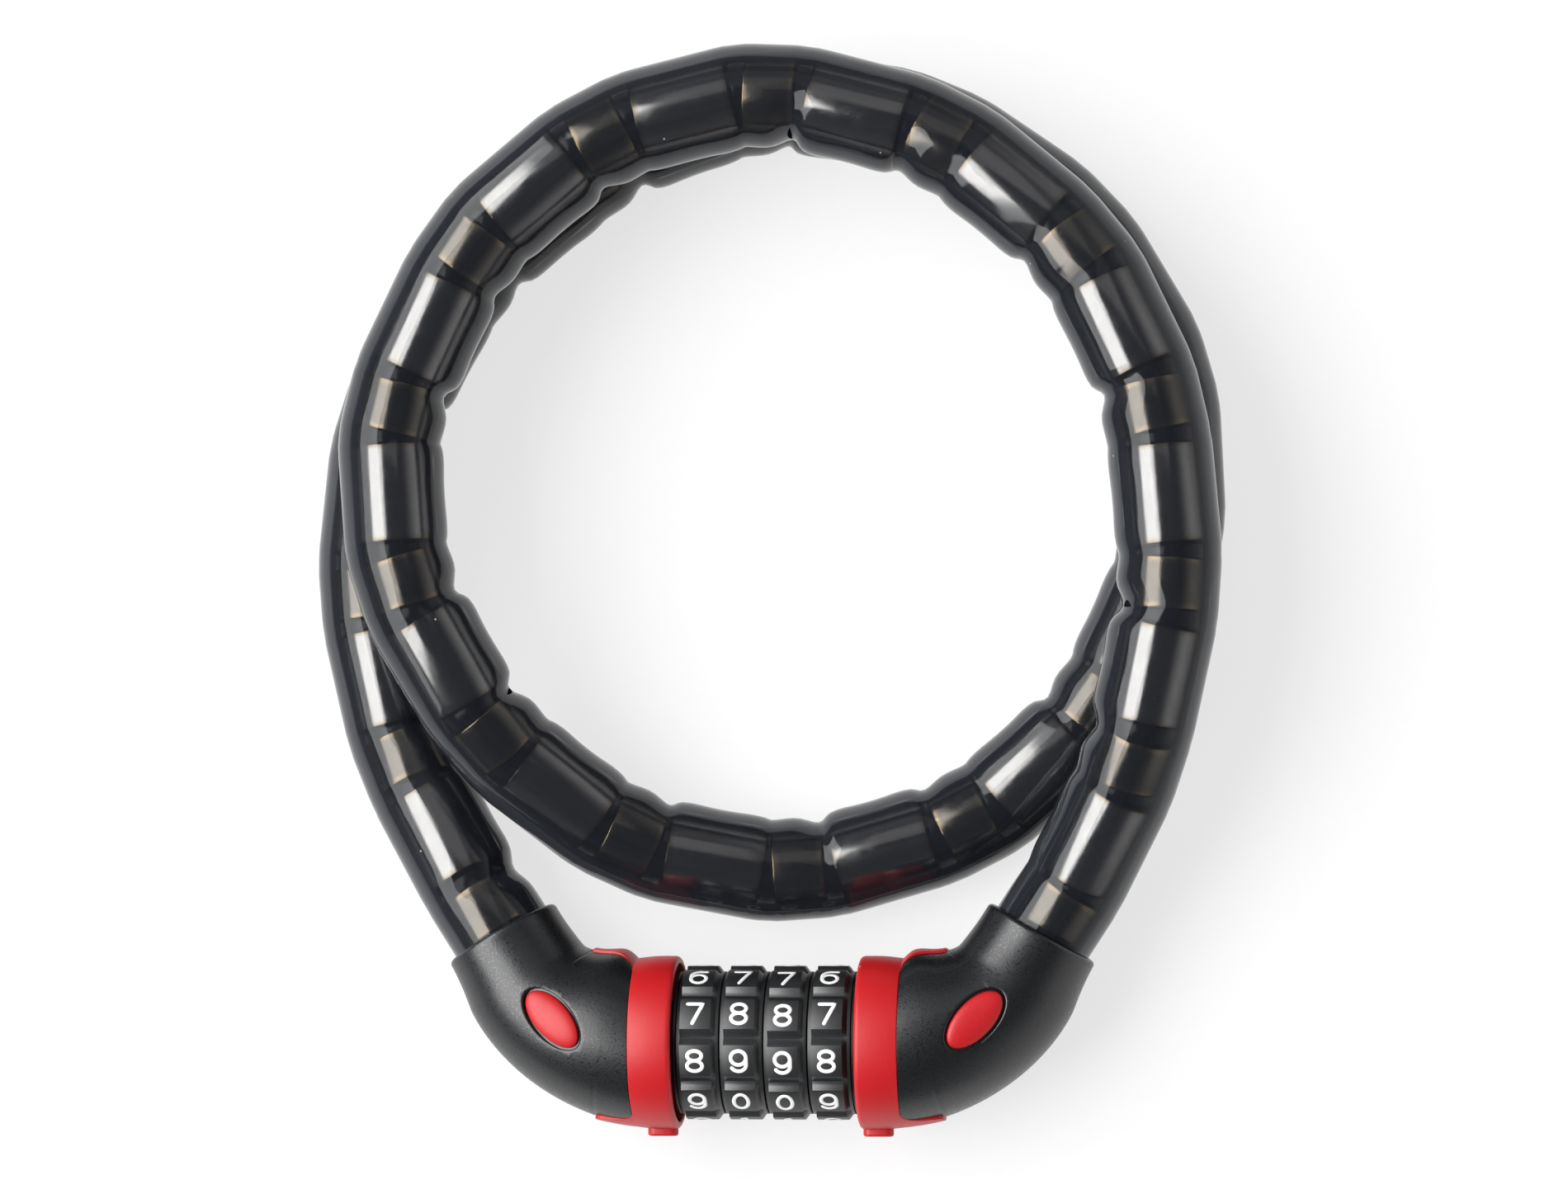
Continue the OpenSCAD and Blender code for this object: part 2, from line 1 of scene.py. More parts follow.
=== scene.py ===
# %% [markdown]
# # A combination lock with an armoured cable
# The lock head sits between two tapered elbows, and a thick cable leaves one elbow, lies in two
# loops and enters the other. The cable is a smoky vinyl jacket over steel sleeves, which take
# turns: a long plain one, then a short one with ball ends.
# The solids come packed from the CAD part. Every length here is in metres, in that part's frame:
# +Z is up, the lock lies on z = 0, and +X runs along the lock head.

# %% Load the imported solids
from math import acos, asin, atan2, ceil, cos, dist, hypot, pi, radians, sin, sqrt, tan

import bmesh
import bpy
import numpy as np
from mathutils import Matrix, Vector
from mathutils.bvhtree import BVHTree


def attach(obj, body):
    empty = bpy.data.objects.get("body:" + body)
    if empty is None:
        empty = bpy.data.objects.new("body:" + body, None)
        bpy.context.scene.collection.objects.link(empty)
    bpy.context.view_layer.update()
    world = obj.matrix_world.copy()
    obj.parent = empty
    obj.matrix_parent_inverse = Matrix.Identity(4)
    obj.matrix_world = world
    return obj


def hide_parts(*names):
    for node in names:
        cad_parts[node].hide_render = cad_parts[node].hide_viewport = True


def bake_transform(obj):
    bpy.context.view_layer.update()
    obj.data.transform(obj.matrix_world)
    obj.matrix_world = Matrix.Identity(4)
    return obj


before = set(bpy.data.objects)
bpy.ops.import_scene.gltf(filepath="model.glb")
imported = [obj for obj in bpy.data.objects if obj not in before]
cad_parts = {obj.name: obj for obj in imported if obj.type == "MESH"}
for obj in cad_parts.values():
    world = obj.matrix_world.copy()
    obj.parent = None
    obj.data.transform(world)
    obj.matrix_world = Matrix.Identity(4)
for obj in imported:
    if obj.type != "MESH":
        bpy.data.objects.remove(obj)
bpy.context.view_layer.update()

MM = 0.001


def mm(*lengths):
    """Lengths given in millimetres, as the metres that Blender takes."""
    return [x * MM for x in lengths]


# %% [markdown]
# ## The camera
# It looks almost straight down, from a metre above, a little from the right and from below the
# middle. A long lens keeps the two loops of the cable nearly the same size. The camera comes
# first, because it decides how much of the cable is seen.

# %% Camera
HEAD_Y, HEAD_Z = -99.5 * MM, 15.35 * MM
LOOK_AT = Vector((2.35 * MM, -19.1 * MM, HEAD_Z))
TILT_X, TILT_Y = radians(6.5), radians(3.7)
CAMERA_FAR, SENSOR = 1.0, 36


def new_object(name, data):
    """An object with this data, put into the scene."""
    obj = bpy.data.objects.new(name, data)
    bpy.context.scene.collection.objects.link(obj)
    return obj


def aim(thing, place, target):
    """Points a camera or lamp from place at target, with +Y up in its view."""
    back = (place - target).normalized()
    right = Vector((0, 1, 0)).cross(back).normalized()
    turn = Matrix((right, back.cross(right), back)).transposed()
    thing.matrix_world = Matrix.Translation(place) @ turn.to_4x4()


camera = new_object("camera", bpy.data.cameras.new("camera"))
toward = Vector((tan(TILT_X), -tan(TILT_Y), 1)).normalized()
aim(camera, LOOK_AT + CAMERA_FAR * toward, LOOK_AT)
camera.data.sensor_width = SENSOR
camera.data.lens = SENSOR * 6800 / 1900
bpy.context.scene.camera = camera
bpy.context.scene.view_settings.view_transform = "Standard"
print("camera at", [round(x, 3) for x in camera.location])

# %% [markdown]
# ## The cable's way
# A cord is a fixed length of something flexible, so its route is settled before its shape. The
# points below repeat the CAD part's: out of the left mouth, round the lower loop on the surface,
# over its own start, round the upper loop, and down into the right mouth.

# %% Route points and the curve through them
ELBOW_X, BEND_R, BEND_TURN, SOCKET_L = 23.8 * MM, 23 * MM, radians(60), 9.2 * MM
ARC_L, CABLE_D = BEND_R * BEND_TURN, 18.4 * MM
LOW, HIGH = 9.2, 27.7
LOWER = [
    (-58, -65, 14), (-68, -45, 10), (-73, -24.5, LOW + 0.1), (-73.5, -2.5, LOW),
    (-68, 18.5, LOW), (-56.5, 38, LOW), (-40.5, 53, LOW), (-21.5, 64.5, LOW), (0, 69.5, LOW),
    (21.5, 66.5, LOW), (41, 57, LOW), (57, 42.5, LOW), (68, 23.5, LOW), (72, 1.5, LOW),
    (68.5, -20, LOW), (58.5, -39, LOW), (43, -55, LOW), (23, -65, LOW), (1, -69, LOW + 0.5)]
UPPER = [
    (-20, -65.5, 13), (-39.5, -54.5, 18.5), (-55, -36.5, 25), (-64.5, -16, HIGH),
    (-67, 6, HIGH), (-60.5, 27, HIGH), (-48, 46.5, HIGH), (-30.5, 60, HIGH),
    (-9.5, 67.5, HIGH), (12.5, 66.5, HIGH), (33.5, 58.5, HIGH), (51.5, 44, HIGH),
    (64, 26, HIGH), (70, 5, HIGH), (71.5, -17, HIGH), (68, -39, 27), (59.5, -62.5, 19.7)]
SUBSTEPS = 8


def mirrored(p):
    """The same point on the other side of the lock head's middle."""
    return p * np.array([-1, 1, 1])


def elbow_at(s):
    """A point on the right elbow's centre line, s along it: an arc, then the straight socket."""
    a = min(s, ARC_L) / BEND_R
    on_arc = np.array([ELBOW_X + BEND_R * sin(a), HEAD_Y + BEND_R * (1 - cos(a)), HEAD_Z])
    return on_arc + max(s - ARC_L, 0) * np.array([cos(a), sin(a), 0])


def cable_track():
    """Points close together along the cable, from its seat in the left elbow to the right one."""
    seat, mouth = elbow_at(ARC_L), elbow_at(ARC_L + SOCKET_L)
    axis = np.array([cos(BEND_TURN), sin(BEND_TURN), 0])
    lead = 2 * (SOCKET_L + 10 * MM) * axis
    lower, upper = np.array(LOWER) * MM, np.array(UPPER) * MM
    way = [lower[0] - mirrored(lead), mirrored(mouth), *lower, *upper, mouth, upper[-1] - lead]
    track = [mirrored(seat)]
    for i in range(1, len(way) - 2):
        a, b, c, d = way[i - 1:i + 3]
        for k in range(SUBSTEPS):
            t = k / SUBSTEPS
            track.append(0.5 * (2 * b + (c - a) * t + (2 * a - 5 * b + 4 * c - d) * t ** 2
                                + (3 * b - a - 3 * c + d) * t ** 3))
    return np.array([*track, mouth, seat])


TRACK = cable_track()
RUN = np.r_[0, np.cumsum(np.linalg.norm(np.diff(TRACK, axis=0), axis=1))]
CABLE_L = RUN[-1]


def points_at(s, run, line):
    """The points of a line at the distances s, where run holds the distance of each of its own."""
    return np.stack([np.interp(s, run, line[:, k]) for k in range(3)], axis=-1)


print(f"cable: {CABLE_L:.3f} m between its seats, {CABLE_L - 2 * SOCKET_L:.3f} m of it shows")

# %% [markdown]
# ## Where the armour bends
# The steel sleeves don't bend, so the cable is a chain of straight links with a small turn at
# each ball. The joints' places follow from the cable's measured length, as in the CAD part.

# %% Joints and links
FERRULE_L, SHORT_L, SHORT_COUNT = 8.2 * MM, 11.4 * MM, 27
LONG_L = (CABLE_L - 2 * FERRULE_L - SHORT_COUNT * SHORT_L) / (SHORT_COUNT - 1)
JOINT_S = np.array([FERRULE_L + (k // 2) * (SHORT_L + LONG_L) + (k % 2) * SHORT_L
                    for k in range(2 * SHORT_COUNT)])
CHAIN_S = np.r_[0, JOINT_S, CABLE_L]
CHAIN = points_at(CHAIN_S, RUN, TRACK)
FREE_LINK = 43
print(f"joints: {len(JOINT_S)}, long links {LONG_L / MM:.1f} mm, short links {SHORT_L / MM:.1f} mm")

# %% [markdown]
# ## Tools for the bench
# Each new piece starts from a primitive and is shaped in edit mode, as by hand. These helpers
# keep the steps short. They select one object, merge a mesh's doubles, apply a modifier, join or
# cut with another piece, and put a finished piece's place into its mesh.

# %% Helpers for modelling
def only(obj):
    """Selects one object and makes it the active one."""
    bpy.ops.object.select_all(action="DESELECT")
    obj.select_set(True)
    bpy.context.view_layer.objects.active = obj
    return obj


def named(name):
    """Names the object that an operator has just added."""
    obj = bpy.context.object
    obj.name = obj.data.name = name
    return obj


def start_edit(obj, kind="VERT", select=None):
    """Enters edit mode, and there may select all or nothing."""
    only(obj)
    bpy.ops.object.mode_set(mode="EDIT")
    bpy.ops.mesh.select_mode(type=kind)
    if select:
        bpy.ops.mesh.select_all(action=select)


def end_edit():
    bpy.ops.object.mode_set(mode="OBJECT")


def close_up(obj):
    """Merges a mesh's doubles and points its faces outwards."""
    start_edit(obj, select="SELECT")
    bpy.ops.mesh.remove_doubles(threshold=1e-6)
    bpy.ops.mesh.normals_make_consistent(inside=False)
    end_edit()
    return obj


def select_rims(obj):
    """Enters edit mode with the mesh's open edges selected."""
    start_edit(obj, "EDGE", "DESELECT")
    bpy.ops.mesh.select_non_manifold(extend=False, use_wire=False, use_multi_face=False,
                                     use_non_contiguous=False, use_verts=False)


def finish_with(obj, kind, **settings):
    """Adds a modifier and applies it."""
    only(obj)
    modifier = obj.modifiers.new(kind.lower(), kind)
    for key, value in settings.items():
        setattr(modifier, key, value)
    bpy.ops.object.modifier_apply(modifier=modifier.name)


def soften(obj, width, segments, angle):
    """Bevels the edges that turn by more than the angle."""
    finish_with(obj, "BEVEL", width=width, segments=segments, limit_method="ANGLE",
                angle_limit=radians(angle))


def combine(obj, operation, other):
    """Adds another piece to this one or cuts it away, and deletes the other."""
    finish_with(obj, "BOOLEAN", operation=operation, object=other, solver="EXACT")
    bpy.data.objects.remove(other)


def settle(obj, smooth=35):
    """Puts a piece's place into its mesh, and smooths its faces up to an angle."""
    only(obj)
    bpy.ops.object.transform_apply(location=True, rotation=True, scale=True)
    bpy.ops.object.shade_smooth_by_angle(angle=radians(smooth))
    return obj


def laid(name, rows, columns, place):
    """A grid laid over a form: place(row, column) says where each of its points goes."""
    bpy.ops.mesh.primitive_grid_add(x_subdivisions=columns - 1, y_subdivisions=rows - 1, size=2)
    obj = named(name)
    for v in obj.data.vertices:
        i = round((v.co.y + 1) / 2 * (rows - 1))
        j = round((v.co.x + 1) / 2 * (columns - 1))
        v.co = place(i, j)
    return close_up(obj)


def copy_of(obj, name, turn=None):
    """A copy with its own mesh, which a matrix may move."""
    new = obj.copy()
    new.data = obj.data.copy()
    new.name = new.data.name = name
    bpy.context.scene.collection.objects.link(new)
    if turn is not None:
        new.data.transform(turn)
        if turn.determinant() < 0:
            new.data.flip_normals()
    return new


def join(pieces, name):
    bpy.ops.object.select_all(action="DESELECT")
    for p in pieces:
        p.select_set(True)
    bpy.context.view_layer.objects.active = pieces[0]
    bpy.ops.object.join()
    return named(name)


def report(*pieces):
    for p in pieces:
        triangles = sum(len(f.vertices) - 2 for f in p.data.polygons)
        size = [round(x / MM, 1) for x in p.dimensions]
        print(f"{p.name}: {triangles} triangles, {size} mm")


MIRROR = Matrix.Scale(-1, 4, (1, 0, 0))

# %% [markdown]
# ## The vinyl jacket
# A thick soft tube over the chain of sleeves. Between the joints it is straight, and at a joint
# it turns. The vinyl is too long on the inside of each turn, so it buckles there: it dips at the
# joint and swells beside it. A plain swept curve can't do that, so the tube is a mesh of rings
# whose radius changes with the place along the cable and around it.
# The plug half pulls out with the last run of the cable, so the jacket is in two pieces that
# meet at a joint: one that stays on the dial half, and one for the last run, which in the real
# lock bends between the two halves.

# %% The jacket's centre line, turning at the joints
STEP = 0.3 * MM
ROUNDING = 2.2 * MM


def chain_line():
    """Points along the links, close together, with each corner rounded a little."""
    s = np.arange(0, CABLE_L + STEP / 2, STEP)
    line = points_at(s, CHAIN_S, CHAIN)
    width = int(ROUNDING / STEP)
    more = np.arange(1, width + 1)[:, None]
    before = line[0] + (line[0] - line[1]) * more[::-1]
    after = line[-1] + (line[-1] - line[-2]) * more
    padded = np.concatenate([before, line, after])
    kernel = np.ones(2 * width + 1) / (2 * width + 1)
    return s, np.stack([np.convolve(padded[:, k], kernel, "valid") for k in range(3)], axis=1)


LINE_S, LINE = chain_line()
TANGENT = np.gradient(LINE, axis=0)
TANGENT /= np.linalg.norm(TANGENT, axis=1)[:, None]


def frame_at(s):
    """The centre line's point at s, its direction, and the two directions across it."""
    p, t = points_at(s, LINE_S, LINE), points_at(s, LINE_S, TANGENT)
    t /= np.linalg.norm(t)
    out = np.cross([0, 0, 1], t)
    out /= np.linalg.norm(out)
    return p, t, out, np.cross(t, out)


line_l = np.linalg.norm(np.diff(LINE, axis=0), axis=1).sum()
print(f"centre line: {len(LINE)} points, {line_l:.3f} m")

# %% The jacket's rings
JACKET_R, JACKET_WALL = CABLE_D / 2, 1.8 * MM
RING_GAP, RING_SIDES = 1.25 * MM, 56
BUCKLE_REACH, DIP_IN, DIP_W, SWELL_W = mm(14, 1.6, 2.7, 3)
CREASE, CREASE_W, END_GAP = mm(0.08, 0.9, 0.3)
chance = np.random.default_rng(7)
pinched = chance.integers(0, 2, len(JOINT_S))
joint_depth = [chance.uniform(1.0, 2.0) if pinched[k // 2] == k % 2 else chance.uniform(0.1, 0.45)
               for k in range(len(JOINT_S))]
joint_swell = chance.uniform(0.1, 0.3, len(JOINT_S))
joint_lean = chance.uniform(-0.5, 0.5, len(JOINT_S))


def bump_at(d, width):
    return np.exp(-(d / width) ** 2)


def jacket_radius(s, around):
    """The outer radius at s, for angles counted from the outside of the loops."""
    inside = np.clip(-np.cos(around), 0, 1) ** 1.3
    r = np.full(len(around), JACKET_R)
    for k, at in enumerate(JOINT_S):
        d = s - at
        if abs(d) > BUCKLE_REACH or k < 1 or k > len(JOINT_S) - 2:
            continue
        into_short = DIP_IN if k % 2 == 0 else -DIP_IN
        lean = np.clip(-np.cos(around + joint_lean[k]), 0, 1) ** 1.3
        r -= joint_depth[k] * MM * bump_at(d - into_short, DIP_W) * lean
        r += joint_swell[k] * MM * bump_at(d + 2.6 * into_short, SWELL_W) * inside
        r -= CREASE * bump_at(d, CREASE_W)
    return r


def tube(name, s_from, s_to, wall):
    """A closed tube with a wall, along the cable from s_from to s_to, with a UV map in metres."""
    rings = np.linspace(s_from, s_to, max(8, round((s_to - s_from) / RING_GAP)))
    around = np.linspace(0, 2 * pi, RING_SIDES, endpoint=False)
    points, place = [], []
    for s, inner in [(s, False) for s in rings] + [(s, True) for s in rings[::-1]]:
        p, t, out, up = frame_at(s)
        r = np.full(RING_SIDES, JACKET_R - wall) if inner else jacket_radius(s, around)
        points += [p + a * (cos(w) * out + sin(w) * up) for a, w in zip(r, around)]
        place.append(s)
    mesh = bpy.data.meshes.new(name)
    n, faces, uvs = len(place), [], []
    for i in range(n):
        for k in range(RING_SIDES):
            j, l = (i + 1) % n, (k + 1) % RING_SIDES
            ring, next_ring = i * RING_SIDES, j * RING_SIDES
            faces.append((ring + k, ring + l, next_ring + l, next_ring + k))
            uvs += [(place[i], k), (place[i], k + 1), (place[j], k + 1), (place[j], k)]
    mesh.from_pydata(points, [], faces)
    layer = mesh.uv_layers.new(name="along")
    scale = np.array([1, 2 * pi * JACKET_R / RING_SIDES])
    layer.data.foreach_set("uv", (np.array(uvs, float) * scale).ravel())
    return settle(new_object(name, mesh), 60)


SPLIT_S = CHAIN_S[FREE_LINK]
jacket_main = tube("jacket_main", END_GAP, SPLIT_S, JACKET_WALL)
jacket_end = tube("jacket_end", SPLIT_S, CABLE_L - END_GAP, JACKET_WALL)
report(jacket_main, jacket_end)

# %% [markdown]
# ## The steel sleeves and the rope
# The long sleeve is a plain pipe with slightly rounded rims. The short one is a thick band with
# a ball at each end, which the long sleeves' ends ride on. Each kind is turned once, as on a
# lathe: a circle is drawn out ring by ring. Then it is copied onto every link, because a real
# maker uses identical sleeves too. A UV map says how far along and around each point is.

# %% A lathe
def rounded(corners, steps=4):
    """Rounds the corners of a profile. Each corner is (radius, height, rounding)."""
    points = []
    for i, (r, z, cut) in enumerate(corners):
        here = np.array([r, z])
        if cut == 0:
            points.append(tuple(here))
            continue
        before, after = np.array(corners[i - 1][:2]), np.array(corners[(i + 1) % len(corners)][:2])
        a = here + (before - here) / np.linalg.norm(before - here) * cut
        c = here + (after - here) / np.linalg.norm(after - here) * cut
        for t in np.linspace(0, 1, steps):
            points.append(tuple((1 - t) ** 2 * a + 2 * t * (1 - t) * here + t ** 2 * c))
    return points


def turned(name, sides, profile):
    """Turns a closed profile of (radius, height) pairs around Z."""
    (r, z), rest = profile[0], profile[1:] + profile[:1]
    bpy.ops.mesh.primitive_circle_add(vertices=sides, radius=r)
    obj = named(name)
    start_edit(obj, select="SELECT")
    bpy.ops.transform.translate(value=(0, 0, z))
    for next_r, next_z in rest:
        bpy.ops.mesh.extrude_region_move(TRANSFORM_OT_translate={"value": (0, 0, next_z - z)})
        grow = next_r / r
        bpy.ops.transform.resize(value=(grow, grow, 1), center_override=(0, 0, 0))
        r, z = next_r, next_z
    end_edit()
    return close_up(obj)


def map_around(obj, half_length):
    """A UV map: U runs from -1 to 1 along Z, and V goes once around."""
    layer = obj.data.uv_layers[0] if obj.data.uv_layers else obj.data.uv_layers.new()
    layer.name = "along"
    for face in obj.data.polygons:
        turns = [atan2(obj.data.vertices[v].co.y, obj.data.vertices[v].co.x) / (2 * pi)
                 for v in face.vertices]
        for loop, v, turn in zip(face.loop_indices, face.vertices, turns):
            turn += 1 if max(turns) - turn > 0.5 else 0
            layer.data[loop].uv = obj.data.vertices[v].co.z / half_length, turn


# %% One long and one short sleeve
SLEEVE_R, SLEEVE_WALL, LIP, BORE_LIP, SLEEVE_SIDES = 7 * MM, 1.1 * MM, 0.5 * MM, 0.15 * MM, 40
JOINT_ROOM, BALL_R, BALL_L, ROPE_R, ROPE_ROOM = mm(1, 5.75, 3.2, 3, 0.7)
PLAIN_L = LONG_L - 2 * JOINT_ROOM
plain_half, band_half, ball_end = PLAIN_L / 2, SHORT_L / 2 - JOINT_ROOM, SHORT_L / 2 + BALL_L
plain_sleeve = turned("plain_sleeve", SLEEVE_SIDES, rounded([
    (SLEEVE_R - SLEEVE_WALL, -plain_half, BORE_LIP), (SLEEVE_R, -plain_half, LIP),
    (SLEEVE_R, plain_half, LIP), (SLEEVE_R - SLEEVE_WALL, plain_half, BORE_LIP)]))


def ball_profile(side):
    """The ball's outline from the band outwards, as (radius, height, rounding)."""
    turns = np.linspace(-asin(JOINT_ROOM / BALL_R), asin(BALL_L / BALL_R), 6)
    points = [(BALL_R * cos(t), side * (SHORT_L / 2 + BALL_R * sin(t)), 0) for t in turns]
    return points if side > 0 else points[::-1]


bore = ROPE_R + ROPE_ROOM
ball_sleeve = turned("ball_sleeve", SLEEVE_SIDES, [(bore, -ball_end)] + rounded(
    ball_profile(-1) + [(SLEEVE_R, -band_half, LIP), (SLEEVE_R, band_half, LIP)] + ball_profile(1))
    + [(bore, ball_end)])
map_around(plain_sleeve, plain_half)
map_around(ball_sleeve, band_half)
report(plain_sleeve, ball_sleeve)


# %% The sleeves on their links
def on_link(master, i, made_for, name):
    a, b = Vector(CHAIN[i]), Vector(CHAIN[i + 1])
    along = (b - a).normalized()
    side = Vector((0, 0, 1)).cross(along).normalized()
    turn = Matrix((side, along.cross(side), along)).transposed().to_4x4()
    fit = Matrix.Scale((b - a).length / made_for, 4, (0, 0, 1))
    return copy_of(master, name, Matrix.Translation((a + b) / 2) @ turn @ fit)


def sleeves(kind, master, made_for, odd, first, last):
    links = [i for i in range(first, last) if i % 2 == odd]
    return settle(join([on_link(master, i, made_for, f"link_{i}") for i in links], kind), 40)


armour_long, armour_short = [], []
for part, (first, last) in {"main": (1, FREE_LINK), "end": (FREE_LINK, len(CHAIN) - 2)}.items():
    armour_long.append(sleeves("long_armour_" + part, plain_sleeve, LONG_L, 0, first, last))
    armour_short.append(sleeves("short_armour_" + part, ball_sleeve, SHORT_L, 1, first, last))
for master in (plain_sleeve, ball_sleeve):
    bpy.data.objects.remove(master)
report(*armour_long, *armour_short)

# %% [markdown]
# The rope inside is six strands laid round each other. It only shows where something is cut
# open, so it is one tube whose outline has six lobes that turn as they go along.

# %% The wire rope
LAY, ROPE_STEP, ROPE_SIDES = 46 * MM, 2.4 * MM, 36


def rope(name, s_from, s_to):
    rings = np.linspace(s_from, s_to, round((s_to - s_from) / ROPE_STEP))
    around = np.linspace(0, 2 * pi, ROPE_SIDES, endpoint=False)

    def place(i, j):
        p, t, out, up = frame_at(rings[i])
        turn = around[j % ROPE_SIDES]
        w = turn + 2 * pi * rings[i] / LAY
        r = ROPE_R * (0.9 + 0.1 * abs(cos(3 * turn)))
        return p + r * (cos(w) * out + sin(w) * up)

    obj = laid(name, len(rings), ROPE_SIDES + 1, place)
    select_rims(obj)
    bpy.ops.mesh.edge_face_add()
    end_edit()
    return settle(obj, 60)


rope_main, rope_end = rope("rope_main", 0.1 * MM, SPLIT_S), rope("rope_end", SPLIT_S, CABLE_L)
report(rope_main, rope_end)

# %% [markdown]
# ## The elbow housings
# Each housing is two moulded halves around the cable's end: a tapered elbow, rounded at its
# mouth, with its edges cut away for the collar's two tongues. The elbow has no straight lines to
# extrude, so a grid is laid over each skin, outer and inner. The skins' rims are bridged, and a
# bevel breaks the edges. The left housing is a mirrored copy.

# %% The elbow's form
SHELL_D, MOUTH_D, SHELL_WALL, MOUTH_ROUND = mm(29.9, 21.4, 2.2, 0.8)
SOCKET_R = CABLE_D / 2 + 0.2 * MM
ELBOW_L = ARC_L + SOCKET_L
BEND_BOW, BOW_PEAK = 1.4 * MM, 5.38
TONGUE_OUT, TONGUE_IN = 4.5 * MM, 20 * MM
TONGUE_ROOT, TONGUE_TIP = radians(26), radians(14)
TONGUE_PROUD, CORNER = 0.6 * MM, 1.7 * MM


def taper_r(s):
    t = (1 - cos(pi * (max(s, 0) / ELBOW_L) ** 1.1)) / 2
    return (SHELL_D + (MOUTH_D - SHELL_D) * t) / 2


def outer_r(s):
    into = min(max(MOUTH_ROUND - (ELBOW_L - s), 0), MOUTH_ROUND)
    return taper_r(s) - MOUTH_ROUND + sqrt(MOUTH_ROUND ** 2 - into ** 2)


def inner_r(s):
    return max(taper_r(s) - SHELL_WALL, SOCKET_R)


def bow(s):
    """How far the housing lies towards the inner side of the bend, at most BEND_BOW."""
    t = min(max(s / ARC_L, 0), 1)
    return BEND_BOW * BOW_PEAK * t * (1 - t) ** 1.5


def parting_a(s, inner_side):
    """Half the angle that a tongue leaves open, with a rounded corner at the collar."""
    long, power = (TONGUE_IN, 0.6) if inner_side else (TONGUE_OUT, 1)
    tongue = TONGUE_ROOT + (TONGUE_TIP - TONGUE_ROOT) * (max(s, 0) / long) ** power
    near = max(0, 1 - max(s, 0) / CORNER)
    return tongue + CORNER * (1 - sqrt(1 - near ** 2)) / taper_r(s)


def on_elbow(s, r, a):
    turn = min(s, ARC_L) / BEND_R
    out = np.array([sin(turn), -cos(turn), 0])
    return elbow_at(s) + (r * cos(a) - bow(s)) * out + r * sin(a) * np.array([0, 0, 1])


def bridged(outer, inner, name):
    """Joins two open skins along their rims into one closed wall."""
    obj = join([outer, inner], name)
    select_rims(obj)
    bpy.ops.mesh.bridge_edge_loops()
    end_edit()
    return close_up(obj)


# %% One housing half
corner_stops = CORNER * (1 - np.cos(np.linspace(0, pi / 2, 8)))
round_stops = ELBOW_L - MOUTH_ROUND * (1 - np.sin(np.linspace(0, pi / 2, 7)))
STOPS = np.r_[corner_stops, np.linspace(CORNER + 0.5 * MM, TONGUE_OUT, 5), TONGUE_OUT + 0.25 * MM,
              np.linspace(TONGUE_OUT + 0.8 * MM, TONGUE_IN, 22), TONGUE_IN + 0.25 * MM,
              np.linspace(TONGUE_IN + 0.8 * MM, ELBOW_L - MOUTH_ROUND, 16)[:-1], round_stops]
STEPS, SEAM = 56, radians(0.1)


def skin(name, radius, front):
    side = 1 if front else -1

    def place(i, j):
        s = STOPS[i]
        first = parting_a(s, False) if s <= TONGUE_OUT else SEAM
        last = pi - (parting_a(s, True) if s <= TONGUE_IN else SEAM)
        return on_elbow(s, radius(s), side * (first + (last - first) * j / STEPS))

    return laid(name, len(STOPS), STEPS + 1, place)


def half_shell(name, front):
    obj = bridged(skin(name, outer_r, front), skin("inner_skin", inner_r, front), name)
    soften(obj, 0.22 * MM, 2, 50)
    return obj


right_front, right_back = half_shell("right_front", True), half_shell("right_back", False)
report(right_front, right_back)

# %% [markdown]
# Each front half has an oval inlay in a seat. The seat's lip is rounded, and it has to follow the
# curved skin, so both the seat's cutter and the inlay are stacks of oval rings whose heights are
# measured down onto the skin. A boolean cuts the seat.

# %% The oval's frame, and heights above it
OVAL_L, OVAL_W, OVAL_DEEP, OVAL_GAP = mm(12.6, 6.4, 1.2, 0.4)
OVAL_S, OVAL_OUT, OVAL_TILT = radians(36) * BEND_R, 1.3 * MM, radians(46)


def oval_frame():
    s, r = OVAL_S, taper_r(OVAL_S)
    turn = s / BEND_R
    out = Vector((sin(turn), -cos(turn), 0))
    along = Vector((cos(turn), sin(turn), 0))
    lean = asin(OVAL_OUT / r)
    slope = (taper_r(s - MM) - taper_r(s + MM)) / (2 * MM)
    up = Vector((0, 0, 1))
    normal = (sin(lean) * out + cos(lean) * up + slope * along).normalized()
    place = Vector(elbow_at(s)) + (OVAL_OUT - bow(s)) * out + r * cos(lean) * up
    heading = atan2(normal.y, normal.x)
    tip = Matrix.Rotation(heading, 4, "Z") @ Matrix.Rotation(acos(normal.z), 4, "Y")
    return Matrix.Translation(place) @ tip @ Matrix.Rotation(OVAL_TILT - heading, 4, "Z")


OVAL = oval_frame()
to_oval = OVAL.inverted()
skin_tree = BVHTree.FromPolygons([to_oval @ v.co for v in right_front.data.vertices],
                                 [tuple(f.vertices) for f in right_front.data.polygons])


def skin_height(x, y):
    hit = skin_tree.ray_cast(Vector((x, y, 8 * MM)), Vector((0, 0, -1)))
    return hit[0].z


def oval_stack(name, rings, sides=72):
    """A closed stack of oval rings. Each is (growth, shrink, height, follows the skin or not)."""
    def place(i, j):
        grow, shrink, height, follows = rings[i]
        w = 2 * pi * j / sides
        x, y = (OVAL_L / 2 + grow) * shrink * cos(w), (OVAL_W / 2 + grow) * shrink * sin(w)
        return OVAL @ Vector((x, y, height + (skin_height(x, y) if follows else 0)))

    return laid(name, len(rings), sides + 1, place)


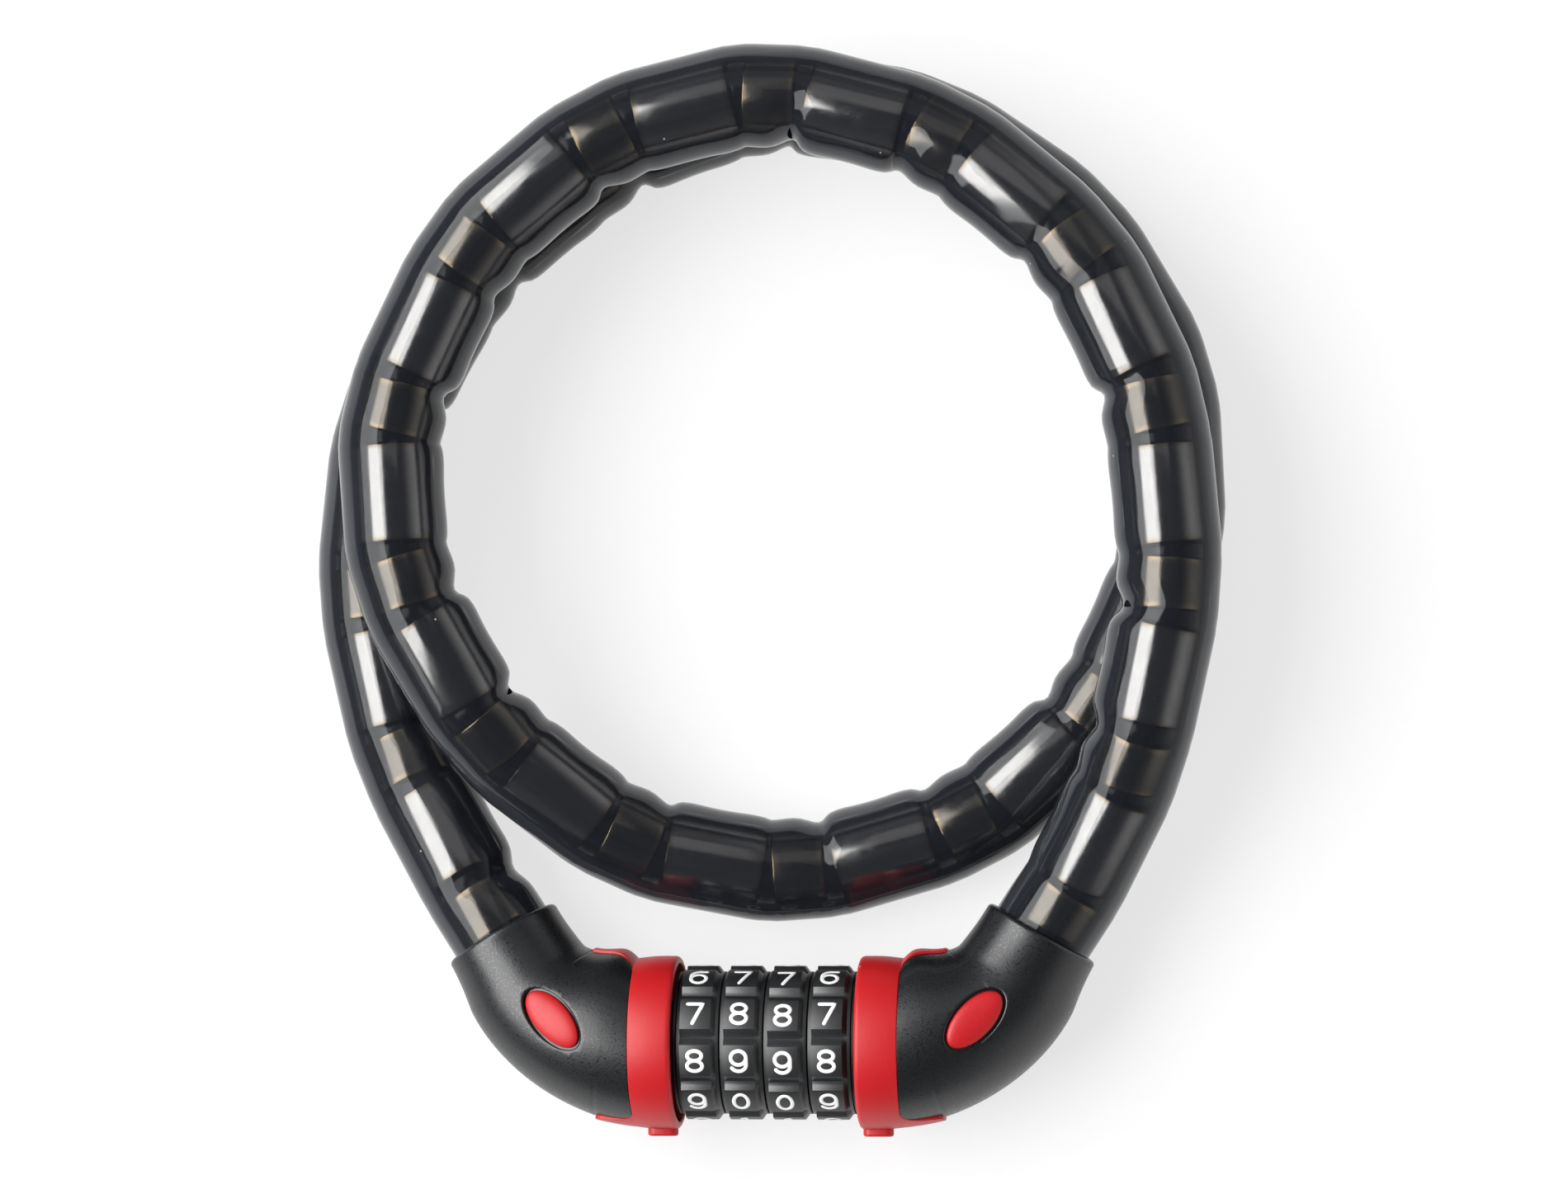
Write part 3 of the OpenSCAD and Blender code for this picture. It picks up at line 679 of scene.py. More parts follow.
# %% The seat and the inlay
cutter = oval_stack("seat_cutter", [
    (OVAL_GAP, 0, -OVAL_DEEP, False), (OVAL_GAP, 1, -OVAL_DEEP, False),
    (OVAL_GAP, 1, -0.42 * MM, True), (OVAL_GAP + 0.05 * MM, 1, -0.22 * MM, True),
    (OVAL_GAP + 0.18 * MM, 1, -0.07 * MM, True), (OVAL_GAP + 0.42 * MM, 1, 0.02 * MM, True),
    (OVAL_GAP + 0.6 * MM, 1, 3 * MM, True), (OVAL_GAP, 0, 4 * MM, False)])
combine(right_front, "DIFFERENCE", cutter)
crown = [(0, 0, 0.34, True), (0, 0.2, 0.335, True), (0, 0.4, 0.32, True), (0, 0.6, 0.27, True),
         (0, 0.76, 0.19, True), (0, 0.88, 0.06, True), (0, 0.95, -0.08, True),
         (0, 0.985, -0.24, True), (0, 1, -0.45, True), (0, 1, -1.15, False), (0, 0, -1.15, False)]
right_oval = oval_stack("right_inlay", [(g, k, h * MM, f) for g, k, h, f in crown])
report(right_front, right_oval)

# %% [markdown]
# ## The collars
# A collar is a red ring with a rounded rim towards the dials, a mouth that the dials' end plate
# sits in, an index rib, and two tongues that reach along the housing's parting line, the inner
# one far round the bend, and rise a little towards their tips. The ring is turned, the tongues
# are laid like the skins, and the rib is a rounded block. Booleans make them one piece.

# %% The collar's parts
COLLAR_R, COLLAR_W, COLLAR_RIM, COLLAR_BORE = mm(15.35, 7.7, 1.3, 7.5)
FACE_X, MOUTH_DEEP, SEAT_GAP = ELBOW_X - COLLAR_W, 3 * MM, 0.05 * MM
SPIGOT_R, SPIGOT_WALL, SPIGOT_L = mm(12.14, 2, 1.6)
RIB_L, RIB_W, RIB_H, RIB_IN, RIB_SUNK = mm(5.4, 3, 1.2, 0.4, 1)
TIP_ROUND, TONGUE_GAP, TONGUE_STEPS = 0.7 * MM, 0.1 * MM, 16


def along_head(obj, x=0.0):
    """Lays a turned piece's axis along the lock head."""
    obj.rotation_euler = (0, pi / 2, 0)
    obj.location = (x, HEAD_Y, HEAD_Z)
    only(obj)
    bpy.ops.object.transform_apply(location=True, rotation=True, scale=True)
    return obj


def collar_ring():
    end = ELBOW_X - SEAT_GAP
    return along_head(turned("collar_ring", 160, rounded([
        (COLLAR_BORE, FACE_X + MOUTH_DEEP, 0.1 * MM),
        (COLLAR_R - COLLAR_RIM, FACE_X + MOUTH_DEEP, 0.1 * MM),
        (COLLAR_R - COLLAR_RIM, FACE_X, 0.3 * MM), (COLLAR_R, FACE_X, 1 * MM),
        (COLLAR_R, FACE_X + 0.55 * COLLAR_W, 1.5 * MM), (SHELL_D / 2, end, 0.25 * MM),
        (SPIGOT_R, end, 0), (SPIGOT_R, end + SPIGOT_L, 0.2 * MM),
        (SPIGOT_R - SPIGOT_WALL, end + SPIGOT_L, 0.2 * MM), (SPIGOT_R - SPIGOT_WALL, end, 0),
        (COLLAR_BORE, end, 0)], 6)))


def tongue(inner_side):
    long, middle, power, steps = (TONGUE_IN, pi, 0.7, 24) if inner_side else (TONGUE_OUT, 0, 1, 6)
    stops = np.r_[-0.6 * MM, corner_stops[:-1], np.linspace(CORNER, long - TIP_ROUND, steps),
                  long - TIP_ROUND * (1 - np.sin(np.linspace(0, pi / 2, 6)[1:]))]

    def skin_of(name, outer):
        def place(i, j):
            s = max(stops[i], 0)
            near_tip = max(0, (s - long + TIP_ROUND) / TIP_ROUND)
            cut = TONGUE_GAP + TIP_ROUND * (1 - sqrt(max(0, 1 - near_tip ** 2)))
            half = parting_a(s, inner_side) - cut / taper_r(s)
            r = outer_r(s) + TONGUE_PROUD * (s / long) ** power if outer else inner_r(s)
            return on_elbow(stops[i], r, middle + half * (2 * j / TONGUE_STEPS - 1))
        return laid(name, len(stops), TONGUE_STEPS + 1, place)

    obj = bridged(skin_of("tongue", True), skin_of("tongue_inner", False), "tongue")
    soften(obj, 0.25 * MM, 3, 50)
    return obj


def rib():
    bpy.ops.mesh.primitive_cube_add(size=1)
    obj = named("rib")
    start_edit(obj, "EDGE", "SELECT")
    deep = RIB_H + RIB_SUNK
    middle = (FACE_X + RIB_IN + RIB_L / 2, HEAD_Y - COLLAR_R + RIB_SUNK - deep / 2, HEAD_Z)
    bpy.ops.transform.resize(value=(RIB_L, deep, RIB_W), center_override=(0, 0, 0))
    bpy.ops.transform.translate(value=middle)
    end_edit()
    for width, upright in ((1.3 * MM, True), (0.45 * MM, False)):
        start_edit(obj, "EDGE")
        mesh = bmesh.from_edit_mesh(obj.data)
        for e in mesh.edges:
            way = (e.verts[1].co - e.verts[0].co).normalized()
            outside = max(v.co.y for v in e.verts) < HEAD_Y - COLLAR_R - 0.5 * MM
            e.select = abs(way.y) > 0.9 if upright else outside
        bmesh.update_edit_mesh(obj.data)
        bpy.ops.mesh.bevel(offset=width, segments=4, affect="EDGES")
        end_edit()
    return obj


def collar(name):
    obj = collar_ring()
    for part in (tongue(False), tongue(True), rib()):
        combine(obj, "UNION", part)
    obj.name = obj.data.name = name
    return obj


right_collar = collar("right_ring")
report(right_collar)

# %% The left side, mirrored
left_front, left_back, left_oval, left_collar = [
    copy_of(p, p.name.replace("right", "left"), MIRROR)
    for p in (right_front, right_back, right_oval, right_collar)]
for piece in (right_front, right_back, left_front, left_back):
    settle(piece, 38)
for piece in (right_oval, left_oval, right_collar, left_collar):
    settle(piece, 42)
report(left_front, left_back, left_oval, left_collar)

# %% [markdown]
# ## The number dials
# A dial is a ring with a raised band, plain on its left and sloped on its right, so that a thumb
# can turn it from that side. The ring and its band are turned together, then ten V-shaped grooves
# are pressed into the band. One dial is made, and copied along the barrel.

# %% The dial's sizes
DIAL_R, PITCH, DIAL_W, BORE_R = mm(13.6, 7.75, 7.65, 10)
PAD_L, PAD_H, PAD_IN, PAD_SLOPE, PADS = 5.4 * MM, 1 * MM, 0.8 * MM, 0.75 * MM, 10
LOW_R, PAD_STEP, SIDES = DIAL_R - PAD_H, radians(36), 120
HALF_GROOVE, PAD_LEAN = radians(6), radians(4.9)
EDGE_DOWN, EDGE_IN, NOTCH_R = mm(0.3, 0.12, 0.9)


def off_groove(co):
    """The angle from the nearest groove's middle, for a point near the dial's ring."""
    a = atan2(co.y, co.z)
    return abs((a + PAD_STEP / 2) % PAD_STEP - PAD_STEP / 2)


# %% One dial
def number_dial():
    left, right = -DIAL_W / 2, DIAL_W / 2
    pad_from, pad_to = left + PAD_IN, left + PAD_IN + PAD_L
    obj = turned("dial", SIDES, [
        (BORE_R, left), (LOW_R - EDGE_DOWN, left), (LOW_R, left + EDGE_IN), (LOW_R, pad_from),
        (DIAL_R, pad_from), (DIAL_R, pad_to), (LOW_R, pad_to + PAD_SLOPE),
        (LOW_R, right - EDGE_IN), (LOW_R - EDGE_DOWN, right), (BORE_R, right)])
    obj.rotation_euler = (0, pi / 2, 0)
    bpy.ops.object.transform_apply(rotation=True)
    edge = np.array([sin(HALF_GROOVE), cos(HALF_GROOVE)]) * DIAL_R
    for v in obj.data.vertices:
        a, r = off_groove(v.co), hypot(v.co.y, v.co.z)
        if a < HALF_GROOVE - 0.01 and r > LOW_R + 0.5 * MM:
            t = LOW_R * tan(a) / (edge[0] - (edge[1] - LOW_R) * tan(a))
            fit = hypot(edge[0] * t, LOW_R + (edge[1] - LOW_R) * t) / r
            v.co.y, v.co.z = v.co.y * fit, v.co.z * fit
    start_edit(obj, select="SELECT")
    bpy.ops.mesh.remove_doubles(threshold=0.005 * MM)
    end_edit()
    for face in obj.data.polygons:
        c = face.center
        in_band = pad_from + 0.1 * MM < c.x < pad_to - 0.1 * MM and hypot(c.y, c.z) > LOW_R
        face.material_index = 1 if in_band and off_groove(c) < HALF_GROOVE else 0
    obj.data.transform(Matrix.Rotation(-PAD_LEAN, 4, "X"))
    return obj


def notches():
    """Ten round bars that cut the code-setting notches in the bore."""
    bars = []
    for k in range(PADS):
        w = k * PAD_STEP
        bpy.ops.mesh.primitive_cylinder_add(
            vertices=20, radius=NOTCH_R, depth=DIAL_W + 2 * MM, rotation=(0, pi / 2, 0),
            location=(0, BORE_R * sin(w), BORE_R * cos(w)))
        bars.append(named(f"bar_{k}"))
    bars = join(bars, "bars")
    bpy.ops.object.transform_apply(location=True, rotation=True)
    return bars


master_dial, bars = number_dial(), notches()
combine(master_dial, "DIFFERENCE", bars)
soften(master_dial, 0.13 * MM, 2, 32)
report(master_dial)

# %% [markdown]
# The numbers are drawn with a round pen: each is a line or two that a curve follows, given a
# round thickness, made a mesh, pressed almost flat and wrapped onto its pad.

# %% The numbers' lines, in a box one wide and one high
def arc(cx, cy, rx, ry, start, end, steps=20):
    return [(cx + rx * cos(radians(a)), cy + ry * sin(radians(a)))
            for a in np.linspace(start, end, steps)]


def oval_line(cx, cy, rx, ry):
    return arc(cx, cy, rx, ry, 0, 360, 33)[:-1]


# For each number, its closed lines and its open ones
NUMBERS = [
    ([oval_line(0.5, 0.5, 0.44, 0.5)], []),
    ([], [[(0.28, 0.8), (0.56, 1), (0.56, 0.5), (0.56, 0)]]),
    ([], [arc(0.5, 0.7, 0.45, 0.3, 165, -40) + [(0.45, 0.25), (0.05, 0), (0.5, 0), (0.97, 0)]]),
    ([], [arc(0.47, 0.75, 0.42, 0.25, 155, -85) + arc(0.47, 0.27, 0.48, 0.27, 85, -155)]),
    ([], [[(0.75, 0), (0.75, 0.5), (0.75, 1), (0.05, 0.28), (0.5, 0.28), (1, 0.28)]]),
    ([], [[(0.88, 1), (0.5, 1), (0.18, 1), (0.12, 0.58)] + arc(0.48, 0.32, 0.46, 0.32, 125, -155)]),
    ([oval_line(0.5, 0.34, 0.46, 0.34)],
     [[(0.04, 0.34)] + arc(0.58, 0.6, 0.54, 0.4, 175, 80, 14) + [(0.95, 0.98)]]),
    ([], [[(0.04, 1), (0.5, 1), (0.96, 1), (0.66, 0.5), (0.36, 0)]]),
    ([oval_line(0.5, 0.76, 0.43, 0.24), oval_line(0.5, 0.26, 0.46, 0.26)], []),
    ([oval_line(0.5, 0.66, 0.46, 0.34)],
     [[(0.96, 0.66), (0.96, 0.45)] + arc(0.5, 0.32, 0.46, 0.32, 0, -150, 18)])]
NUMBER_W, NUMBER_H, PEN, PEN_STEP, PRESSED = 2.92 * MM, 3.65 * MM, 0.34 * MM, 0.12, 0.3


# %% Drawn numbers as meshes
def number(n):
    name = f"number_{n}"
    closed, opened = NUMBERS[n]
    curve = bpy.data.curves.new(name, "CURVE")
    curve.dimensions = "3D"
    curve.bevel_depth, curve.bevel_resolution, curve.use_fill_caps = PEN, 3, True
    for line in closed + opened:
        fine = [line[0]]
        for a, b in zip(line, line[1:]):
            parts = max(1, ceil(dist(a, b) / PEN_STEP))
            fine += [tuple(np.array(a) + (np.array(b) - a) * k / parts) for k in range(1, parts + 1)]
        spline = curve.splines.new("POLY")
        spline.points.add(len(fine) - 1)
        spline.use_cyclic_u = line in closed
        for p, (x, y) in zip(spline.points, fine):
            p.co = ((x - 0.5) * NUMBER_W, (y - 0.5) * NUMBER_H, 0, 1)
    only(new_object(name, curve))
    bpy.ops.object.convert(target="MESH")
    obj = named(name)
    for x, y in [end for line in opened for end in (line[0], line[-1])]:
        bpy.ops.mesh.primitive_uv_sphere_add(
            segments=12, ring_count=8, radius=PEN,
            location=((x - 0.5) * NUMBER_W, (y - 0.5) * NUMBER_H, 0))
        obj = join([obj, named("pen_end")], name)
    start_edit(obj, select="SELECT")
    bpy.ops.transform.resize(value=(1, 1, PRESSED), center_override=(0, 0, 0))
    end_edit()
    return obj


def wrapped(master, turn, name):
    """A number laid onto the pad that is turned this far from the top, towards -Y."""
    obj = copy_of(master, name)
    for v in obj.data.vertices:
        a, r = turn - PAD_LEAN - v.co.y / DIAL_R, DIAL_R + v.co.z
        v.co = (v.co.x - DIAL_W / 2 + PAD_IN + PAD_L / 2, -r * sin(a), r * cos(a))
    return obj


drawn = [number(n) for n in range(PADS)]
print("numbers:", sum(len(d.data.polygons) for d in drawn), "faces")

# %% Four dials with their numbers
FIRST_SHOWN, PLAY = (6, 7, 7, 6), (0, 0, 1.3, 0)
dials, numbers = [], []
for d in range(4):
    place = Matrix.Translation(((d - 1.5) * PITCH, HEAD_Y, HEAD_Z))
    place = place @ Matrix.Rotation(radians(PLAY[d]), 4, "X")
    dials.append(settle(copy_of(master_dial, f"dial_ring_{d + 1}", place), 30))
    marks = [wrapped(drawn[n], PAD_STEP * (n - FIRST_SHOWN[d] - 1.5), f"mark_{n}")
             for n in range(PADS)]
    mark = join(marks, f"dial_numbers_{d + 1}")
    mark.data.transform(place)
    numbers.append(settle(mark, 60))
for master in (*drawn, master_dial):
    bpy.data.objects.remove(master)
report(*dials[:1], *numbers[:1])

# %% [markdown]
# ## Finishes
# Moulded plastic isn't smooth: a tool leaves a fine grain that breaks up each highlight. Vinyl
# shows lines along the cable from its extrusion, and steel sleeves show turning marks. Each such
# effect is a node group, used by several finishes with different values. The shaders themselves
# stay in the materials.

# %% Helpers for nodes
def feed(tree, node, **settings):
    """Sets a node's attributes and inputs. An input goes by its name with spaces as _, or by n and
    its number. It takes a value, a socket, or a node, whose first output is meant."""
    for key, value in settings.items():
        if hasattr(node, key):
            setattr(node, key, value)
            continue
        if isinstance(value, bpy.types.Node):
            value = value.outputs[0]
        numbered = key[0] == "n" and key[1:].isdigit()
        socket = node.inputs[int(key[1:]) if numbered else key.replace("_", " ")]
        if isinstance(value, bpy.types.NodeSocket):
            tree.links.new(value, socket)
        else:
            socket.default_value = value
    return node


def add(tree, kind, label="", **settings):
    """Adds a shader node."""
    node = tree.nodes.new("ShaderNode" + kind)
    node.label = label
    return feed(tree, node, **settings)


def reckon(tree, operation, *values):
    """Adds a node that reckons with its values."""
    return add(tree, "Math", operation=operation, **{f"n{i}": v for i, v in enumerate(values)})


def mixed(tree, factor, first, second):
    """Mixes two colours."""
    return add(tree, "Mix", data_type="RGBA", n0=factor, n6=first, n7=second).outputs[2]


def relief(tree, shader, height, strength, distance):
    """Lets a height tilt the shader's normal."""
    feed(tree, shader, Normal=add(tree, "Bump", Height=height, Strength=strength, Distance=distance))


def effect(name, outputs, **numbers_in):
    """A shader node group that takes a Vector and some numbers, and puts out numbers."""
    group = bpy.data.node_groups.new(name, "ShaderNodeTree")
    new = group.interface.new_socket
    new("Vector", in_out="INPUT", socket_type="NodeSocketVector")
    for key, value in numbers_in.items():
        made = new(key.replace("_", " "), in_out="INPUT", socket_type="NodeSocketFloat")
        made.default_value = value
    for key in outputs:
        new(key, in_out="OUTPUT", socket_type="NodeSocketFloat")
    return group, group.nodes.new("NodeGroupInput"), group.nodes.new("NodeGroupOutput")


def linear(r, g, b):
    """An sRGB colour, 0 to 255, as the linear colour that a shader takes."""
    parts = [c / 255 for c in (r, g, b)]
    return (*[((c + 0.055) / 1.055) ** 2.4 if c > 0.04 else c / 12.92 for c in parts], 1)


def finish(name, **sockets):
    """A material with a Principled shader, and the constants of its own sockets."""
    mat = bpy.data.materials.new(name)
    mat.use_nodes = True
    tree = mat.node_tree
    return mat, tree, feed(tree, tree.nodes["Principled BSDF"], **sockets)


# %% [markdown]
# The moulded grain is a noise a quarter of a millimetre across, with a coarser one under it. The
# group also gives a speckle mask, which varies the roughness and lets single grains catch light.

# %% Grain of moulded plastic
grain, g_in, g_out = effect("moulded_grain", ("Height", "Speckle", "Cloud"), Grain_Size=0.00025)
per_metre = reckon(grain, "DIVIDE", 1.0, g_in.outputs["Grain Size"])
fine = add(grain, "TexNoise", "fine grain", Vector=g_in, Scale=per_metre, Detail=2.0, Roughness=0.55)
coarse = add(grain, "TexNoise", "coarse grain", Vector=g_in,
             Scale=reckon(grain, "MULTIPLY", per_metre, 0.33), Detail=1.0)
peaks = add(grain, "MapRange", "grain peaks", Value=fine, interpolation_type="SMOOTHSTEP",
            From_Min=0.52, From_Max=0.66)
cloud = add(grain, "TexNoise", "handling", Vector=g_in, Scale=90.0, Detail=4.0)
feed(grain, g_out, Height=reckon(grain, "MULTIPLY_ADD", coarse, 0.5, fine), Speckle=peaks, Cloud=cloud)
print(grain.name, "has", len(grain.nodes), "nodes")

# %% [markdown]
# Dust is a few tiny pale dots. It lies on plastic and vinyl alike, so it is a group too.

# %% Dust
dust, d_in, d_out = effect("dust", ("Mask",), Amount=0.03)
dots = add(dust, "TexVoronoi", "dust dots", Vector=d_in, Scale=420.0)
chance_of = add(dust, "SeparateColor", Color=dots.outputs["Color"])
kept = reckon(dust, "LESS_THAN", chance_of, d_in.outputs["Amount"])
small = add(dust, "MapRange", Value=dots, From_Min=0.09, From_Max=0.04)
feed(dust, d_out, Mask=reckon(dust, "MULTIPLY", kept, small))
print(dust.name, "has", len(dust.nodes), "nodes")

# %% [markdown]
# ### Plastics
# The black and the red plastic are satin, with the grain as bump. The colour changes only a
# little: paler where it has been handled, and paler at a speck of dust.


# %% Black, red and white plastics
def plastic(name, colour, lighter, roughness, size, strength, dust_amount, spread=0.08, level=0.5):
    mat, tree, shader = finish(name, Roughness=roughness, IOR=1.5, Specular_IOR_Level=level)
    at = add(tree, "TexCoord").outputs["Object"]
    grains = add(tree, "Group", node_tree=grain, Vector=at, Grain_Size=size)
    specks = add(tree, "Group", node_tree=dust, Vector=at, Amount=dust_amount)
    tone = mixed(tree, grains.outputs["Cloud"], colour, lighter)
    rough = add(tree, "MapRange", Value=grains.outputs["Speckle"],
                To_Min=roughness + spread / 2, To_Max=roughness - spread / 2)
    feed(tree, shader, Base_Color=mixed(tree, specks, tone, linear(176, 174, 170)), Roughness=rough)
    relief(tree, shader, grains, strength, size / 8)
    return mat


housing_black = plastic("housing_black", linear(12, 14, 17), linear(18, 20, 24), 0.3, 0.36 * MM, 0.5,
                        0.02, 0.14, level=0.65)
dial_black = plastic("dial_black", linear(16, 17, 19), linear(22, 24, 26), 0.42, 0.12 * MM, 0.15,
                     0.05, level=0.8)
groove_black = plastic("groove_black", linear(19, 21, 23), linear(26, 28, 31), 0.33, 0.2 * MM, 0.3,
                       0.0, level=1.0)
inner_black = plastic("inner_black", linear(16, 17, 18), linear(23, 24, 26), 0.3, 0.15 * MM, 0.2, 0.02)
collar_red = plastic("collar_red", linear(180, 12, 19), linear(188, 17, 25), 0.42, 0.3 * MM, 0.45, 0.01)
number_white = plastic("number_white", linear(228, 228, 230), linear(240, 240, 240), 0.5, 0.1 * MM,
                       0.15, 0.01)
print("plastics:", [m.name for m in (housing_black, dial_black, groove_black, inner_black, collar_red)])

# %% [markdown]
# ### Smoky vinyl
# The jacket is thick, soft and glossy, and smoky. It lets nearly half of the light through where
# it is looked at squarely, and hardly any where the look passes along the wall, at the cable's
# edges. Refraction in such a thin wall adds noise and costs light, so the tint is made with alpha,
# more at a grazing look, and none for a face seen from behind. Fine lines run along the cable.

# %% The jacket's vinyl
vinyl, tree, shader = finish("smoky_vinyl", Base_Color=linear(24, 27, 32), Roughness=0.07, IOR=1.5,
                             Specular_IOR_Level=0.38)
vinyl.surface_render_method = "DITHERED"
uv = add(tree, "UVMap", uv_map="along")
stretch = add(tree, "Mapping", "lines along the cable", Vector=uv, Scale=(25, 900, 1))
lines = add(tree, "TexNoise", "extrusion lines", Vector=stretch, Scale=1.0, Detail=2.0)
soft = add(tree, "Mapping", "soft waves", Vector=uv, Scale=(110, 140, 1))
waves = add(tree, "TexNoise", "waves", Vector=soft, Scale=1.0, Detail=2.0)
relief(tree, shader, reckon(tree, "MULTIPLY_ADD", waves, 1.2, lines), 0.08, 0.25 * MM)
specks = add(tree, "Group", node_tree=dust, Vector=add(tree, "TexCoord").outputs["Object"],
             Amount=0.035)
tint = mixed(tree, lines, linear(26, 29, 34), linear(38, 41, 47))
grazing = add(tree, "LayerWeight", Blend=0.5).outputs["Facing"]
tinted = add(tree, "MapRange", "wall looked through", Value=grazing, From_Min=0.2, From_Max=0.43,
             To_Min=0.56, To_Max=0.985)
front_only = reckon(tree, "SUBTRACT", 1.0, add(tree, "NewGeometry").outputs["Backfacing"])
alpha = reckon(tree, "MULTIPLY", reckon(tree, "MAXIMUM", tinted, specks), front_only)
feed(tree, shader, Base_Color=mixed(tree, specks, tint, linear(190, 188, 184)), Alpha=alpha)
print(vinyl.name, "has", len(tree.nodes), "nodes")

# %% [markdown]
# ### Steel
# The sleeves are cheap zinc-plated steel, with a bronze tinge that is strongest at their ends.
# Their highlights are broad and a little streaky, from turning marks that run around them.
# Their rims are painted dark: painted shade in the joints between the sleeves.

# %% The sleeves' steel
turning, t_in, t_out = effect("turning_marks", ("Height",))
around = add(turning, "Mapping", "rings", Vector=t_in, Scale=(60, 5, 1))
rings = add(turning, "TexNoise", "turned rings", Vector=around, Scale=1.0, Detail=3.0)
feed(turning, t_out, Height=rings)


def sleeve_steel(name, plain, bronze, end_from, roughness):
    mat, tree, shader = finish(name, Metallic=1.0, Roughness=roughness)
    uv = add(tree, "UVMap", uv_map="along")
    mottle = add(tree, "TexNoise", "mottle", Vector=add(tree, "TexCoord").outputs["Object"],
                 Scale=260.0, Detail=5.0, Roughness=0.7)
    out = reckon(tree, "ABSOLUTE", add(tree, "SeparateXYZ", Vector=uv))
    end = add(tree, "MapRange", "towards the ends", Value=out, interpolation_type="SMOOTHSTEP",
              From_Min=end_from, From_Max=end_from + 0.1)
    # Painted shade: the sleeve's rims are made dark, to stand for the shade in the joints between
    # sleeves.
    joint_shade_mask = add(tree, "MapRange", "painted shade at the joints", Value=out, interpolation_type="SMOOTHSTEP",
              From_Min=0.93, From_Max=0.97)
    stained = reckon(tree, "MULTIPLY_ADD", mottle, 0.12, end)
    stained.use_clamp = True
    tone = mixed(tree, joint_shade_mask, mixed(tree, stained, plain, bronze), linear(48, 48, 48))
    rough = add(tree, "MapRange", Value=mottle, From_Min=0.3, From_Max=0.7,
                To_Min=roughness - 0.04, To_Max=roughness + 0.08)
    feed(tree, shader, Base_Color=tone, Roughness=rough)
    relief(tree, shader, add(tree, "Group", node_tree=turning, Vector=uv), 0.25, 0.01 * MM)
    return mat


long_steel = sleeve_steel("sleeve_steel", linear(190, 189, 188), linear(174, 162, 144), 0.84, 0.14)
short_steel = sleeve_steel("ball_steel", linear(132, 127, 118), linear(166, 150, 124), 0.72, 0.16)


# %% Plain steel for the lock's inner parts and the rope
def turned_steel(name, colour, roughness, size):
    mat, tree, shader = finish(name, Metallic=1.0, Roughness=roughness)
    grains = add(tree, "Group", node_tree=grain, Vector=add(tree, "TexCoord").outputs["Object"],
                 Grain_Size=size)
    cloud = grains.outputs["Cloud"]
    rough = add(tree, "MapRange", Value=cloud, To_Min=roughness - 0.08, To_Max=roughness + 0.1)
    feed(tree, shader, Base_Color=mixed(tree, cloud, colour, linear(160, 154, 146)), Roughness=rough)
    relief(tree, shader, grains, 0.15, 0.02 * MM)
    return mat


lock_steel = turned_steel("lock_steel", linear(196, 194, 190), 0.25, 0.2 * MM)
rope_steel = turned_steel("rope_steel", linear(150, 150, 150), 0.35, 0.15 * MM)
print("steels:", [m.name for m in (long_steel, short_steel, lock_steel, rope_steel)])

# %% [markdown]
# ## Each piece on its body
# Every piece rides on the body it belongs to, except the cable's last run, which is on no body.
# In the real lock that run bends between the two halves, because the plug half takes the cable's
# end along when it pulls out.

# %% Materials, bodies and the solids that the pieces stand for
def dress(piece, mats, stands_for, body=None):
    kinds = [face.material_index for face in piece.data.polygons]
    piece.data.materials.clear()
    for mat in mats if isinstance(mats, tuple) else (mats,):
        piece.data.materials.append(mat)
    piece.data.polygons.foreach_set("material_index", kinds)
    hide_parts(*stands_for)
    if body:
        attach(piece, body)
    else:
        elbow_at(ELBOW_L)
        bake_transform(piece)


for side, body, front, back, inlay, ring in (
        ("left", "dial_half", left_front, left_back, left_oval, left_collar),
        ("right", "plug_half", right_front, right_back, right_oval, right_collar)):
    dress(front, housing_black, [side + "_shell_front"], body)
    dress(back, housing_black, [side + "_shell_back"], body)
    dress(inlay, collar_red, [side + "_oval"], body)
    dress(ring, collar_red, [side + "_collar"], body)
for d, body in enumerate(("dial_1", "dial_2", "dial_3", "dial_4")):
    dress(dials[d], (dial_black, groove_black), ["number_" + body], body)
    dress(numbers[d], number_white, [], body)
for k, (body, runs) in enumerate((("dial_half", [1, 2, 3]), (None, [4]))):
    dress((jacket_main, jacket_end)[k], vinyl, ["jacket"], body)
    dress((rope_main, rope_end)[k], rope_steel, ["wire_rope"], body)
    dress(armour_long[k], long_steel, [f"long_sleeves_{r}" for r in runs], body)
    dress(armour_short[k], short_steel, [f"short_sleeves_{r}" for r in runs], body)
for name, node_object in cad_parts.items():
    if not node_object.hide_render:
        mat = inner_black if name in ("barrel", "barrel_cap") else lock_steel
        for material_slot in node_object.material_slots:
            material_slot.material = mat
        print("kept from the CAD part:", name)

# %% The cable's ends and centre lines, in its two pieces
left_mouth, right_mouth = mirrored(elbow_at(ELBOW_L)), elbow_at(ELBOW_L)


def line_of(a, b):
    """The centre line's points from a to b, about 2 mm apart."""
    return [frame_at(s)[0] for s in np.linspace(a, b, max(9, round(abs(b - a) / (2 * MM))))]


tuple(left_mouth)
line_of(END_GAP, SPLIT_S)
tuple(right_mouth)
line_of(CABLE_L - END_GAP, SPLIT_S)
print("cord pieces:", jacket_main.name, jacket_end.name)

# %% [markdown]
# ## Floor and light
# The lock lies on a white table that stays white to the camera and keeps a soft shadow. The sky
# is dark straight above and bright low down, most of all on the right, so that the tops of the
# sleeves stay dark and the edges of the vinyl light up. One long soft lamp on the left makes the
# cable's bright stripe, a dim one behind lights the dials' grooves, and a dim one above, which no
# reflection shows, lightens the shadows.

